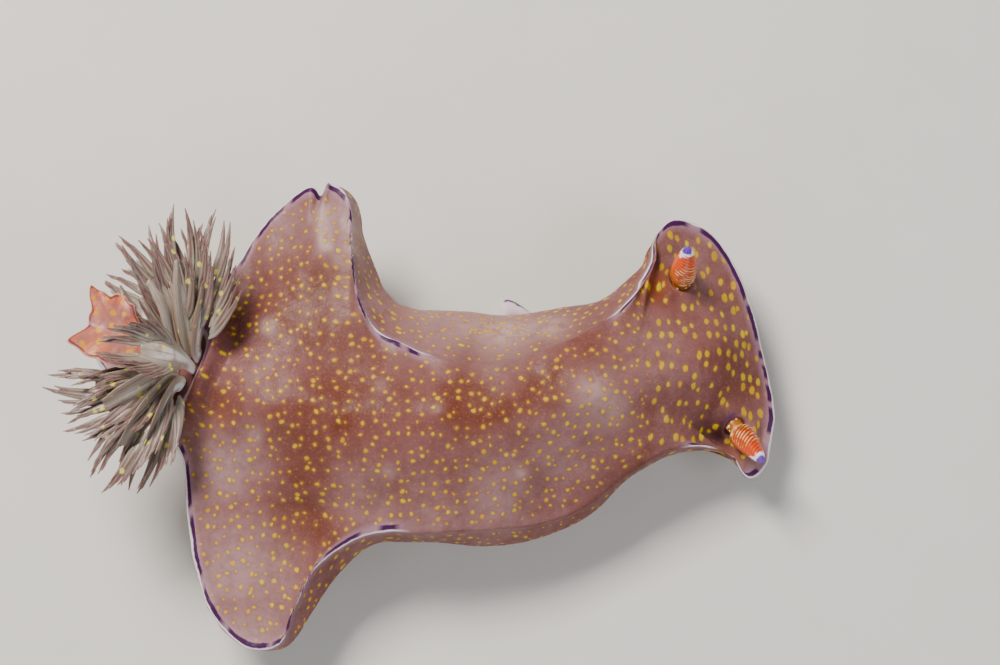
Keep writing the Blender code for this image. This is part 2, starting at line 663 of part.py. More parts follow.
def horn_blade():
    """The horn's blade, a thin star with a rounded rim."""
    middle = place(*HORN_BLADE_MIDDLE)
    corners = [Vector((math.cos(math.radians(turn)) * reach, math.sin(math.radians(turn)) * reach, 0.0))
               for turn, reach in HORN_BLADE_STAR]
    outline = [curve_point(corners, i * 0.5, closed=True) for i in range(2 * len(corners))]
    bm = bmesh.new()
    rings = []
    for share, side in HORN_BLADE_RINGS:
        ring = []
        for corner in outline:
            spot = middle + corner * share
            spot.z += blade_height(corner * share)
            thickness = HORN_RIM_THICKNESS + (HORN_BLADE_THICKNESS - HORN_RIM_THICKNESS) * (1.0 - share)
            spot.z += thickness * side
            ring.append(bm.verts.new(spot))
        rings.append(ring)
    for low, high in zip(rings, rings[1:]):
        for i in range(len(outline)):
            after = (i + 1) % len(outline)
            bm.faces.new((low[i], low[after], high[after], high[i]))
    for ring, side in ((rings[0], 0.5), (rings[-1], -0.5)):
        hub = bm.verts.new(middle + Vector((0.0, 0.0, HORN_BLADE_THICKNESS * side)))
        for i in range(len(outline)):
            bm.faces.new((ring[i], ring[(i + 1) % len(outline)], hub))
    bmesh.ops.recalc_face_normals(bm, faces=bm.faces)
    return bm


def blade_height(offset):
    """Rise of the horn's blade over its middle at an offset in plan."""
    return -HORN_BLADE_RISE * offset.x + HORN_BLADE_CUP * (offset.xy.length / HORN_CUP_REACH) ** 2


def mouth_mesh():
    """The cutter of the mouth's slit, a flat ball across the front of the head."""
    bm = bmesh.new()
    bmesh.ops.create_icosphere(bm, subdivisions=2, radius=1.0)
    ahead = axis_frame(MOUTH_PLACE[0])[1]
    centre = place(*MOUTH_PLACE)
    across = Vector((-ahead.y, ahead.x, 0.0))
    for vert in bm.verts:
        deep, wide, high = (vert.co[i] * MOUTH_SIZE[i] for i in range(3))
        vert.co = centre + Vector((ahead.x, ahead.y, 0.0)) * deep + across * wide + Vector((0.0, 0.0, high))
    return bm


def pocket_axis():
    """Direction of the gill pocket, which leans to the rear."""
    ahead = axis_frame(POCKET_PLACE[0])[1]
    return Vector((-ahead.x * math.sin(POCKET_LEAN), -ahead.y * math.sin(POCKET_LEAN), math.cos(POCKET_LEAN)))


def make_flesh():
    """The whole body with its horn, collars and sockets, before it is parted into nodes."""
    body = new_object("flesh", body_mesh(RIB_SPACING))
    tree = BVHTree.FromObject(body, bpy.context.evaluated_depsgraph_get())
    pocket = place(*POCKET_PLACE, 0.0)
    pocket.z = surface_height(tree, pocket) - POCKET_SINK
    lean = pocket_axis()
    sheath_bases = {}
    added = [new_object("horn_stalk", horn_stalk()), new_object("horn_blade", horn_blade())]
    rim = [(0.0, -POCKET_ROOT), (POCKET_RIM_RADIUS - 1.5, -POCKET_ROOT), (POCKET_RIM_RADIUS, 0.0),
           (POCKET_RIM_RADIUS - 0.9, POCKET_RIM_HEIGHT * 0.7), (POCKET_RADIUS + 0.6, POCKET_RIM_HEIGHT),
           (0.0, POCKET_RIM_HEIGHT)]
    added.append(new_object("rim_form", turned(rim, pocket, lean, POCKET_SIDES)))
    for name, (base, tip, rise) in RHINOPHORES.items():
        foot = place(*base, 0.0)
        foot.z = surface_height(tree, foot)
        top = place(*tip, foot.z + rise)
        direction = (top - foot).normalized()
        sheath_bases[name] = (foot, direction, (top - foot).length)
        ring = [(0.0, -SHEATH_ROOT), (SHEATH_RADIUS + 0.4, -SHEATH_ROOT), (SHEATH_RADIUS + 0.2, 0.0),
                (SHEATH_RADIUS - 0.3, SHEATH_HEIGHT), (0.0, SHEATH_HEIGHT)]
        added.append(new_object(name + "_sheath", turned(ring, foot, direction, SHEATH_SIDES)))
    for side in (1.0, -1.0):
        line = [place(along, out * side, height) for along, out, height, radius in FEELER_SECTIONS]
        radii = [row[3] for row in FEELER_SECTIONS]
        added.append(new_object("feeler_form", tube(line, radii, radii, FEELER_SIDES)))
    boolean(body, added, "UNION")
    keep_largest(body)
    cuts = [new_object("mouth", mouth_mesh())]
    floor = -POCKET_DEPTH + POCKET_RIM_HEIGHT
    hole = [(0.0, floor), (POCKET_RADIUS - 0.5, floor), (POCKET_RADIUS, CUTTER_RISE), (0.0, CUTTER_RISE)]
    cuts.append(new_object("pocket_hole", turned(hole, pocket, lean, POCKET_SIDES)))
    for name, (foot, direction, length) in sheath_bases.items():
        low = SHEATH_HEIGHT - SHEATH_DEPTH
        radius = SHEATH_RADIUS - SHEATH_WALL
        well = [(0.0, low), (radius, low), (radius + 0.2, CUTTER_RISE), (0.0, CUTTER_RISE)]
        cuts.append(new_object(name + "_well", turned(well, foot, direction, SHEATH_SIDES)))
    boolean(body, cuts, "DIFFERENCE")
    keep_largest(body)
    return body, pocket, lean, sheath_bases


def slab(corners, low, high):
    """A closed upright plate, one joint gap thick, along corners in plan."""
    bm = bmesh.new()
    half = JOINT_GAP * 0.5
    left, right = [], []
    for i, corner in enumerate(corners):
        before = corners[max(i - 1, 0)]
        after = corners[min(i + 1, len(corners) - 1)]
        run_in = (corner - before).normalized() if i > 0 else (after - corner).normalized()
        run_out = (after - corner).normalized() if i < len(corners) - 1 else run_in
        mid = (run_in + run_out).normalized()
        across = Vector((-mid.y, mid.x)) * half / max(mid.dot(run_in), 0.3)
        left.append(corner + across)
        right.append(corner - across)
    outline = left + right[::-1]
    bottom = [bm.verts.new((p.x, p.y, low)) for p in outline]
    top = [bm.verts.new((p.x, p.y, high)) for p in outline]
    count = len(corners)
    for i in range(len(outline)):
        after = (i + 1) % len(outline)
        bm.faces.new((bottom[i], bottom[after], top[after], top[i]))
    for i in range(count - 1):
        opposite = len(outline) - 1 - i
        for ring in (bottom, top):
            bm.faces.new((ring[i], ring[i + 1], ring[opposite - 1], ring[opposite]))
    bmesh.ops.recalc_face_normals(bm, faces=bm.faces)
    return bm


def sheet(along_low, along_high, height):
    """A closed level plate, one joint gap thick, across the body."""
    bm = bmesh.new()
    half = JOINT_GAP * 0.5
    corners = [place(along, out, 0.0) for along, out in (
        (along_low, -CUTTER_REACH), (along_high, -CUTTER_REACH),
        (along_high, CUTTER_REACH), (along_low, CUTTER_REACH))]
    low = [bm.verts.new((p.x, p.y, height - half)) for p in corners]
    high = [bm.verts.new((p.x, p.y, height + half)) for p in corners]
    bm.faces.new(low)
    bm.faces.new(high)
    for i in range(4):
        after = (i + 1) % 4
        bm.faces.new((low[i], low[after], high[after], high[i]))
    bmesh.ops.recalc_face_normals(bm, faces=bm.faces)
    return bm


def part_flesh(body):
    """Parts the flesh with thin cuts into the nodes that a person would name."""
    across = (-CUTTER_REACH, CUTTER_REACH)
    walls = [
        slab([plan(HEAD_CUT, out) for out in across], FOOT_CUT_HEIGHT, CUTTER_REACH),
        slab([plan(TRUNK_CUT, out) for out in across], FOOT_CUT_HEIGHT, CUTTER_REACH),
        slab([plan(TAIL_CUT, out) for out in across], CUTTER_BELOW, TAIL_CUT_HEIGHT),
        slab([plan(*corner) for corner in LOBE_LEFT_CUT], FOOT_CUT_HEIGHT, CUTTER_REACH),
        slab([plan(*corner) for corner in LOBE_RIGHT_CUT], FOOT_CUT_HEIGHT, CUTTER_REACH),
        sheet(TAIL_CUT, CUTTER_REACH, FOOT_CUT_HEIGHT),
        sheet(-CUTTER_FAR, TAIL_CUT, TAIL_CUT_HEIGHT),
        sheet(-CUTTER_FAR, HORN_CUT_ALONG, HORN_CUT_HEIGHT),
    ]
    for side in (1.0, -1.0):
        ends = [plan(FEELER_CUT, reach * side) for reach in FEELER_CUT_REACH]
        walls.append(slab(ends, FOOT_CUT_HEIGHT, FEELER_CUT_TOP))
    cutters = [new_object("cut_%d" % i, wall) for i, wall in enumerate(walls)]
    boolean(body, cutters, "DIFFERENCE")
    whole = bmesh.new()
    whole.from_mesh(body.data)
    bmesh.ops.triangulate(whole, faces=whole.faces)
    pieces = [separate(faces) for faces in shells(whole)]
    whole.free()
    bpy.data.objects.remove(body, do_unlink=True)
    for name, (inside, colour) in FLESH_NODES.items():
        point = place(*inside) * MILLIMETRE
        piece = next(piece for piece in pieces if holds(piece, point))
        mesh = bpy.data.meshes.new(name)
        piece.to_mesh(mesh)
        mesh.shade_smooth()
        item = bpy.data.objects.new(name, mesh)
        bpy.context.scene.collection.objects.link(item)
        finish(item, colour)
    for piece in pieces:
        piece.free()


def separate(faces):
    """A mesh of its own from some faces of another."""
    piece = bmesh.new()
    table = {}
    for face in faces:
        for vert in face.verts:
            if vert not in table:
                table[vert] = piece.verts.new(vert.co)
        piece.faces.new([table[vert] for vert in face.verts])
    return piece


def holds(piece, point):
    """True where a point lies inside a closed mesh."""
    tree = BVHTree.FromBMesh(piece)
    direction = Vector((0.013, 0.021, 1.0)).normalized()
    crossings = 0
    start = point.copy()
    while True:
        hit = tree.ray_cast(start, direction)
        if hit[0] is None:
            return crossings % 2 == 1
        crossings += 1
        start = hit[0] + direction * 1e-6


def gill_line(turn, distance, tip, bow, stand, pocket, lean):
    """Points up the middle of a gill, from the floor of the pocket to its tip."""
    ahead = axis_frame(POCKET_PLACE[0])[1]
    angle = math.radians(turn) + math.atan2(ahead.y, ahead.x)
    outward = Vector((math.cos(angle), math.sin(angle), 0.0))
    side = outward - lean * outward.dot(lean)
    floor = -POCKET_DEPTH + POCKET_RIM_HEIGHT + JOINT_GAP
    root = pocket + lean * floor + side.normalized() * distance
    end = place(*tip)
    first = root + lean * stand + side * GILL_SPLAY * stand
    level = (end - first).xy.normalized()
    left = Vector((level.y, -level.x, 0.0))
    second = first.lerp(end, GILL_ARCH_SHARE) + Vector((0.0, 0.0, GILL_ARCH)) + left * bow
    return bend([root, first, second, end], len(GILL_SHAFT_WIDTH))


def samples(points, radii):
    """Points close together up a line, each with the half thickness there."""
    found = []
    for i in range(len(points) - 1):
        steps = max(1, math.ceil((points[i + 1] - points[i]).length / SAMPLE_STEP))
        for step in range(steps + 1):
            share = step / steps
            radius = radii[i] * (1.0 - share) + radii[i + 1] * share
            found.append((points[i].lerp(points[i + 1], share), radius))
    return found


def is_clear(points, radii, others, sizes, flesh):
    """True where a filament keeps a joint gap to the other gills and to the flesh."""
    for point, radius in samples(points, radii):
        for near, index, distance in others.find_range(point, CLEAR_RANGE):
            if distance < radius + sizes[index] + JOINT_GAP:
                return False
        for tree in flesh:
            hit = tree.find_nearest(point * MILLIMETRE)
            if hit[3] / MILLIMETRE < radius + JOINT_GAP:
                return False
    return True


def filament_line(line, share, spread, pitch, reach):
    """Points of one filament that leaves a gill's shaft at a share of its length."""
    spot = share * (len(line) - 1)
    start = curve_point(line, spot)
    ahead = (curve_point(line, min(spot + 0.5, len(line) - 1.0)) - start).normalized()
    across = ahead.cross(Vector((0.0, 0.0, 1.0))).normalized()
    up = across.cross(ahead)
    way = (ahead * math.cos(spread) + across * math.sin(spread)) * math.cos(pitch) + up * math.sin(pitch)
    return [start, start + way * reach * 0.5, start + way.lerp(ahead, FILAMENT_TURN) * reach]


def make_gills(pocket, lean, flesh):
    """All gills: shafts with filaments to both sides that bend clear of one another."""
    draw = random.Random(GILL_SEED)
    lines = [gill_line(*gill, pocket, lean) for gill in GILLS]
    filled = [samples(line, GILL_SHAFT_WIDTH) for line in lines]
    for number, line in enumerate(lines):
        others = [spot for i, group in enumerate(filled) if i != number for spot in group]
        table = KDTree(len(others))
        for i, (point, size) in enumerate(others):
            table.insert(point, i)
        table.balance()
        sizes = [size for point, size in others]
        length = sum((end - start).length for start, end in zip(line, line[1:]))
        filaments = []
        for i in range(FILAMENTS):
            share = FILAMENT_FIRST + (FILAMENT_LAST - FILAMENT_FIRST) * i / (FILAMENTS - 1)
            side = 1.0 if i % 2 else -1.0
            spread = side * FILAMENT_SPREAD * draw.uniform(*FILAMENT_SPREAD_RANGE)
            pitch = FILAMENT_PITCH * (1.0 if i % 4 < 2 else FILAMENT_DOWN)
            reach = length * FILAMENT_SHARE * (1.0 - FILAMENT_SHORTENING * (share - FILAMENT_FIRST))
            reach *= draw.uniform(*FILAMENT_REACH_RANGE)
            tries = [(spread * narrower, pitch + lift, reach * shorter) for shorter in FILAMENT_CUTS
                     for lift in FILAMENT_LIFTS for narrower in FILAMENT_NARROWINGS]
            for attempt in tries:
                points = filament_line(line, share, *attempt)
                if is_clear(points, FILAMENT_RADII, table, sizes, flesh):
                    filled[number] += samples(points, FILAMENT_RADII)
                    filament = tube(points, FILAMENT_RADII, FILAMENT_RADII, FILAMENT_SIDES)
                    filaments.append(new_object("filament", filament))
                    break
        name = "gill_%d" % (number + 1)
        shaft = tube(line, GILL_SHAFT_WIDTH, GILL_SHAFT_DEPTH, GILL_SIDES)
        gill = new_object(name, shaft, GILL_SKIN, WET_ROUGHNESS)
        boolean(gill, filaments, "UNION")
        keep_largest(gill)
        gill.data.shade_smooth()


def make_rhinophore(name, foot, direction, length):
    """One rhinophore: a short stalk under a club of slanting leaves with a blunt tip."""
    low = SHEATH_HEIGHT - SHEATH_DEPTH + JOINT_GAP
    stalk = RHINOPHORE_STALK_RADIUS
    outline = [(0.0, low), (stalk, low), (stalk, low + RHINOPHORE_STALK_RISE)]
    club_low = low + RHINOPHORE_CLUB_START
    club_high = length * RHINOPHORE_CLUB_END
    turn_low, turn_range, turn_power = RHINOPHORE_CLUB_SHAPE
    for i in range(RHINOPHORE_LEAVES):
        share = i / (RHINOPHORE_LEAVES - 1)
        height = club_low + (club_high - club_low) * share
        turn = math.pi * 0.5 * (turn_low + turn_range * share ** turn_power)
        radius = RHINOPHORE_CLUB_RADIUS * math.cos(turn)
        outline.append((radius, height))
        outline.append((radius * RHINOPHORE_GROOVE, height + RHINOPHORE_LEAF_PITCH * (club_high - club_low)))
    outline += [(RHINOPHORE_TIP_RADIUS, length * RHINOPHORE_TIP_START), (0.0, length)]
    club = turned(outline, foot, direction, RHINOPHORE_SIDES, RHINOPHORE_SLANT)
    new_object(name, club, RHINOPHORE_SKIN, WET_ROUGHNESS)


def main():
    clear_scene()
    body, pocket, lean, sheath_bases = make_flesh()
    part_flesh(body)
    flesh = [BVHTree.FromObject(item, bpy.context.evaluated_depsgraph_get())
             for item in bpy.data.objects if item.name in ("horn", "trunk_rear")]
    make_gills(pocket, lean, flesh)
    for name, (foot, direction, length) in sheath_bases.items():
        make_rhinophore(name, foot, direction, length)


main()
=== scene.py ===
# %% [markdown]
# # A live nudibranch, dressed
#
# The real animal is a soft sea slug about 11 cm long. It has no shell: one wet skin covers the
# back, the brim that spreads from it, the flanks and the foot. Gills, a horn and two feelers
# called rhinophores grow out of that skin. The solid model gives the sizes, and everything
# here is a finer surface in the same place. One continuous skin is made first, because seams
# between the solid's parts would show, and the thin parts are then set on it.

# %% Frame
import math
import random

import bmesh
import bpy
import numpy as np
from mathutils import Matrix, Vector, noise
from mathutils.bvhtree import BVHTree


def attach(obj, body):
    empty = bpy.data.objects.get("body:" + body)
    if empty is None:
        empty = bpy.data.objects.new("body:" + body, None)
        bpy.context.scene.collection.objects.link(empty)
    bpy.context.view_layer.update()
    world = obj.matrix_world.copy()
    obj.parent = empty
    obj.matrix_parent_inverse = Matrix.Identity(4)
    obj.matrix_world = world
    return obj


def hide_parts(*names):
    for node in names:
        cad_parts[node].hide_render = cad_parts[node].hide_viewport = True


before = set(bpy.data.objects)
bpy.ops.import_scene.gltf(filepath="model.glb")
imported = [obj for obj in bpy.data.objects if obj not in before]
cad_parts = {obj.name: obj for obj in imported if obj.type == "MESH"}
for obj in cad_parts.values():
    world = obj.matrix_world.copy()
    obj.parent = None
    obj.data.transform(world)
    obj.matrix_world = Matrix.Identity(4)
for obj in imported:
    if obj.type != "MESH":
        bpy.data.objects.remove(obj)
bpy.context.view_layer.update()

MM = 0.001

# %% [markdown]
# ## Where things are on the body
#
# The animal is bent, so a place is easier to give along the bent body than in x and y. Along
# runs from tail to head on the axis, out is the distance to the animal's left, and height is
# above the floor. A smooth line through a few points of the axis turns such a place into x
# and y. A straight frame would be simpler, but then each fold and spot would need its own
# turning.

# %% Bent axis
CENTRE_X = -6.01
CENTRE_Y = 2.62
AXIS_POINTS = [(-46.0, 11.5), (-22.0, 2.2), (4.0, 1.2), (24.0, 7.2), (50.0, 17.0)]
AXIS_STEPS = 60
AXIS_EXTENSION = 30.0


def make_axis():
    """Points on the bent axis of the body, with their distance along it."""
    points = [Vector(p) for p in AXIS_POINTS]
    line = []
    for i in range(len(points) - 1):
        before = points[i - 1] if i > 0 else points[0] * 2.0 - points[1]
        after = points[i + 2] if i + 2 < len(points) else points[-1] * 2.0 - points[-2]
        start, end = points[i], points[i + 1]
        for step in range(AXIS_STEPS):
            t = step / AXIS_STEPS
            line.append(0.5 * (2.0 * start + (end - before) * t
                               + (2.0 * before - 5.0 * start + 4.0 * end - after) * t ** 2
                               + (3.0 * start - before - 3.0 * end + after) * t ** 3))
    line.append(points[-1])
    line.insert(0, line[0] + (line[0] - line[1]).normalized() * AXIS_EXTENSION)
    line.append(line[-1] + (line[-1] - line[-2]).normalized() * AXIS_EXTENSION)
    lengths = [0.0]
    for start, end in zip(line, line[1:]):
        lengths.append(lengths[-1] + (end - start).length)
    middle = min(range(len(line)), key=lambda i: abs(line[i].x))
    return line, [length - lengths[middle] for length in lengths]


AXIS_LINE, AXIS_LENGTHS = make_axis()


def axis_frame(along):
    """Point on the axis and the direction to the head there."""
    index = int(np.searchsorted(AXIS_LENGTHS, along)) - 1
    index = min(max(index, 0), len(AXIS_LINE) - 2)
    start, end = AXIS_LINE[index], AXIS_LINE[index + 1]
    ahead = (end - start).normalized()
    return start + ahead * (along - AXIS_LENGTHS[index]), ahead


def place(along, out, height=0.0):
    """Point in millimetres for a place on the body."""
    point, ahead = axis_frame(along)
    return Vector((point.x - ahead.y * out - CENTRE_X, point.y + ahead.x * out - CENTRE_Y, height))


def smooth_step(low, high, value):
    """Share from 0 at low to 1 at high, with soft ends."""
    share = np.clip((value - low) / (high - low), 0.0, 1.0)
    return share * share * (3.0 - 2.0 * share)


def bell(distance, width):
    """Share that is 1 in the middle and fades as a bell curve does, by this width."""
    return np.exp(-(distance / width) ** 2)


print("axis, mm:", round(AXIS_LENGTHS[-2] - AXIS_LENGTHS[1], 1))

# %% [markdown]
# ## Ribs of the skin
#
# A slug has no bones, but ribs are still the best way to draw it: each rib is a line over the
# skin, from the ridge of the back out to the edge of the brim, under it to the flank and down
# to the sole. The stations are the same as the solid's, so the skin fits it. Sculpting by hand
# could give this shape too, but ribs keep it measured and let marks follow the edge.

# %% Stations of the mantle
# Place along the trunk, then for the left and right edge: along, out, height, swell and drop.
STATIONS = [
    (47.5, (52.5, -1.2, 11.0, -2.0, 1.8), (52.5, -1.2, 11.0, -2.0, 1.8)),
    (46.5, (53.4, 7.0, 12.0, -2.0, 1.8), (51.8, -7.0, 10.2, -2.0, 1.8)),
    (44.6, (53.0, 14.5, 13.3, -2.0, 1.8), (50.7, -12.0, 10.0, -2.0, 1.8)),
    (42.3, (50.1, 20.3, 15.3, -2.0, 1.8), (48.4, -16.3, 9.6, -2.0, 1.8)),
    (39.8, (45.7, 22.4, 17.2, -1.5, 1.8), (45.6, -20.2, 9.2, -1.5, 1.8)),
    (37.6, (42.3, 20.6, 18.6, 0.5, 2.5), (42.7, -20.8, 9.4, -1.5, 1.8)),
    (35.5, (40.4, 16.6, 20.4, 1.8, 4.5), (41.2, -16.9, 11.6, -1.0, 2.2)),
    (33.0, (36.0, 12.9, 22.0, 3.2, 6.0), (38.0, -14.7, 14.6, 0.0, 3.0)),
    (28.0, (30.0, 9.9, 23.2, 4.0, 6.0), (32.0, -13.1, 17.0, 0.4, 4.0)),
    (20.0, (20.3, 8.1, 24.4, 5.5, 6.0), (24.0, -14.1, 16.8, 0.5, 4.0)),
    (12.0, (9.2, 8.2, 25.0, 7.0, 7.0), (13.0, -17.1, 15.4, 1.6, 3.5)),
    (3.5, (0.5, 9.5, 25.0, 7.5, 7.0), (4.0, -17.1, 18.3, 1.8, 5.0)),
    (-5.0, (-7.5, 11.9, 24.6, 8.0, 8.0), (-5.0, -17.2, 20.0, 1.0, 5.0)),
    (-12.0, (-14.0, 14.6, 24.2, 8.0, 9.0), (-12.0, -17.6, 20.0, 1.2, 5.5)),
    (-17.0, (-18.6, 19.4, 24.0, 7.0, 9.0), (-18.0, -22.7, 19.0, 2.6, 6.0)),
    (-21.5, (-21.9, 25.7, 24.0, 5.5, 8.5), (-20.2, -30.0, 17.6, 2.2, 5.0)),
    (-25.5, (-27.0, 32.5, 24.0, 3.6, 7.0), (-21.2, -36.7, 17.0, 0.9, 3.0)),
    (-29.0, (-32.4, 35.8, 24.0, 1.6, 4.5), (-23.8, -38.2, 16.2, -0.5, 2.0)),
    (-32.0, (-36.9, 35.9, 23.6, 0.0, 2.4), (-27.8, -34.7, 16.0, -2.0, 1.8)),
    (-35.5, (-40.8, 32.6, 22.2, -2.0, 1.8), (-31.7, -27.8, 16.2, -2.0, 1.8)),
    (-39.0, (-43.3, 25.6, 20.8, -2.0, 1.8), (-35.9, -19.5, 17.2, -2.0, 1.8)),
    (-43.0, (-44.6, 17.4, 20.2, -2.0, 1.8), (-40.2, -13.0, 18.3, -2.0, 1.8)),
    (-47.5, (-49.3, 9.8, 20.0, -1.5, 1.8), (-46.8, -10.8, 19.0, -1.5, 1.8)),
    (-50.5, (-53.0, -1.0, 20.5, -1.0, 2.5), (-53.0, -1.0, 20.5, -1.0, 2.5)),
]
LAST_STATION = len(STATIONS) - 1
LOOP_ROWS = [row[1] for row in STATIONS] + [row[2] for row in STATIONS[1:-1]][::-1]
EDGE_LOOP = [Vector(row[:3]) for row in LOOP_ROWS]
SWELL_LOOP = [Vector((row[3], row[4], 0.0)) for row in LOOP_ROWS]

SPINE_SHARE = 0.82
SPINE_HEIGHT = [(-52.0, 20.5), (-40.0, 24.0), (-26.0, 27.0), (0.0, 27.5), (18.0, 26.3),
                (30.0, 23.6), (41.0, 20.5)]
GIRTH_HEIGHT = 10.0
GIRTH_HEIGHT_HEAD = 8.0
GIRTH_LEFT = [(-39.0, 12.6), (-20.0, 17.6), (-8.0, 20.8), (3.0, 20.6), (20.0, 16.8), (36.0, 14.0)]
GIRTH_RIGHT = [(-39.0, 11.8), (-20.0, 16.2), (-5.0, 17.4), (7.0, 18.8), (20.0, 13.8), (36.0, 13.2)]
TRUNK_FRONT = 47.5
TRUNK_REAR = -50.5
FRONT_ROUND = 35.5
REAR_ROUND = -39.0
BACK_SPREAD = 13.0
BRIM_THICKNESS = 2.4
BRIM_ROOT_THICKNESS = 6.0
BRIM_ROOT_SHARE = 0.22
BRIM_MIDDLE_SHARE = 0.55
# How far in from the edge the last row of the back lies, and how deep the rounded rim is.
RIM_INSET = 1.2
RIM_ROUND = 0.75
FOOT_LEFT = [(-41.0, 8.6), (-28.0, 10.4), (-8.0, 12.0), (9.0, 12.6), (24.0, 11.0), (37.0, 9.6)]
FOOT_RIGHT = [(-41.0, 8.6), (-28.0, 10.4), (-8.0, 12.0), (9.0, 13.0), (24.0, 10.6), (37.0, 9.6)]
FOOT_RUFFLE = (16.5, 5.6, 11.0)
FOOT_FRONT = 46.3
TAIL_TIP = (-65.5, 1.5)
FOOT_EDGE_HEIGHT = 1.2
FOOT_TOP_HEIGHT = 2.3
FOOT_NECK_HEIGHT = 3.9
# How far in from the outline the neck above the foot and the foot's rim lie.
FOOT_NECK_INSET = 1.0
FOOT_RIM_INSET = 0.7
# The sole's middle line is this much of the foot's length.
SOLE_MIDDLE_SHARE = 0.93
TAIL_RIDGE_HEIGHT = 5.0
# Stations between which the flank turns into the tail.
TAIL_STATIONS = (20.5, 22.0)
# Step to either side of a rib, in stations, from which the run of the edge is read.
TANGENT_STEP = 0.25
print("stations:", len(STATIONS))

# %% [markdown]
# ## Smooth curves
#
# Every form here is drawn through a few measured points. A centripetal curve passes through
# its points without loops where they lie close together, which a plain cubic curve does not.
# A size along a line, such as a height or a half width, is read in a similar way.

# %% Curves through a few points


def between(four, knots, value):
    """Points on centripetal curves through four points each, at a value between the knots."""
    level = four
    for low, high in (((0, 1, 2), (1, 2, 3)), ((0, 1), (2, 3)), ((1,), (2,))):
        shares = [(value - knots[one]) / (knots[two] - knots[one]) for one, two in zip(low, high)]
        level = [level[i] + (level[i + 1] - level[i]) * share for i, share in enumerate(shares)]
    return level[0]


def curve_point(points, place_on, closed=False):
    """Point on a centripetal curve through points; place_on counts points from the first."""
    count = len(points)
    if closed:
        place_on = place_on % count
        index = int(place_on)
        four = [points[(index + step) % count] for step in (-1, 0, 1, 2)]
    else:
        index = min(int(place_on), count - 2)
        first = points[index - 1] if index > 0 else points[0] * 2.0 - points[1]
        last = points[index + 2] if index + 2 < count else points[-1] * 2.0 - points[-2]
        four = [first, points[index], points[index + 1], last]
    knots = [0.0]
    for start, end in zip(four, four[1:]):
        knots.append(knots[-1] + max((end - start).length, 0.01) ** 0.5)
    return between(four, knots, knots[1] + (place_on - index) * (knots[2] - knots[1]))


def profile(pairs, at):
    """Size at a place, read from a smooth line through pairs of place and size."""
    at = min(max(at, pairs[0][0]), pairs[-1][0])
    index = 0
    while index < len(pairs) - 2 and at > pairs[index + 1][0]:
        index += 1
    slopes = [(high[1] - low[1]) / (high[0] - low[0]) for low, high in zip(pairs, pairs[1:])]
    ends = [0.0] + [0.5 * (one + two) for one, two in zip(slopes, slopes[1:])] + [0.0]
    span = pairs[index + 1][0] - pairs[index][0]
    t = (at - pairs[index][0]) / span
    return (pairs[index][1] * (2.0 * t ** 3 - 3.0 * t ** 2 + 1.0)
            + pairs[index + 1][1] * (3.0 * t ** 2 - 2.0 * t ** 3)
            + ends[index] * span * (t ** 3 - 2.0 * t ** 2 + t)
            + ends[index + 1] * span * (t ** 3 - t ** 2))


# %% [markdown]
# ## Trunk and foot
#
# Seen from above, the trunk and the foot under it are both long outlines with round ends. The
# foot is a flat sole with a thin rim that flares at the floor, and at the rear it draws out to
# the tail.

# %% Outlines of the trunk and the foot


def trunk_along(station):
    """Place along the body that belongs to a station."""
    low = min(int(station), LAST_STATION - 1)
    return STATIONS[low][0] + (STATIONS[low + 1][0] - STATIONS[low][0]) * (station - low)


def trunk_outline(along, side, front, rear, left, right):
    """Along and out of the trunk's or foot's outline, round at both ends."""
    widths = left if side > 0 else right
    if along > FRONT_ROUND:
        turn = math.acos(min((along - FRONT_ROUND) / (TRUNK_FRONT - FRONT_ROUND), 1.0))
        width = profile(widths, FRONT_ROUND) * math.sin(turn)
        return FRONT_ROUND + (front - FRONT_ROUND) * math.cos(turn), side * width
    if along < REAR_ROUND:
        turn = math.acos(min((REAR_ROUND - along) / (REAR_ROUND - TRUNK_REAR), 1.0))
        width = profile(widths, REAR_ROUND) * math.sin(turn)
        return (REAR_ROUND + (rear[0] - REAR_ROUND) * math.cos(turn),
                side * width + rear[1] * math.cos(turn))
    return along, side * profile(widths, along)


def foot_side(girth, foot, tail_share):
    """Points from below the flank, round the foot's rim, to the middle of the sole."""
    centre = Vector((foot.x * SOLE_MIDDLE_SHARE, TAIL_TIP[1] * tail_share, 0.0))
    room = min((foot - centre).length, (girth.xy.to_3d() - centre).length)
    neck = centre + (foot - centre).normalized() * max(room - FOOT_NECK_INSET, 0.3)
    neck.z = FOOT_NECK_HEIGHT
    ridge = girth.lerp(foot, 0.5)
    ridge.z = TAIL_RIDGE_HEIGHT
    neck = neck.lerp(ridge, tail_share)
    rim = (foot - centre).normalized() * FOOT_RIM_INSET
    return [girth.lerp(neck, 0.55), neck, foot - rim + Vector((0.0, 0.0, FOOT_TOP_HEIGHT)),
            foot + Vector((0.0, 0.0, FOOT_EDGE_HEIGHT)), foot - rim, foot.lerp(centre, 0.55), centre]


print("trunk, mm:", round(trunk_along(0) - trunk_along(LAST_STATION), 1))

# %% [markdown]
# ## One rib
#
# A rib starts on the ridge of the back, falls to the edge as a bell curve does, and turns
# under. The thin brim hangs free over the flank where it is wide, and blends into the flank
# where it is narrow.

# %% One rib


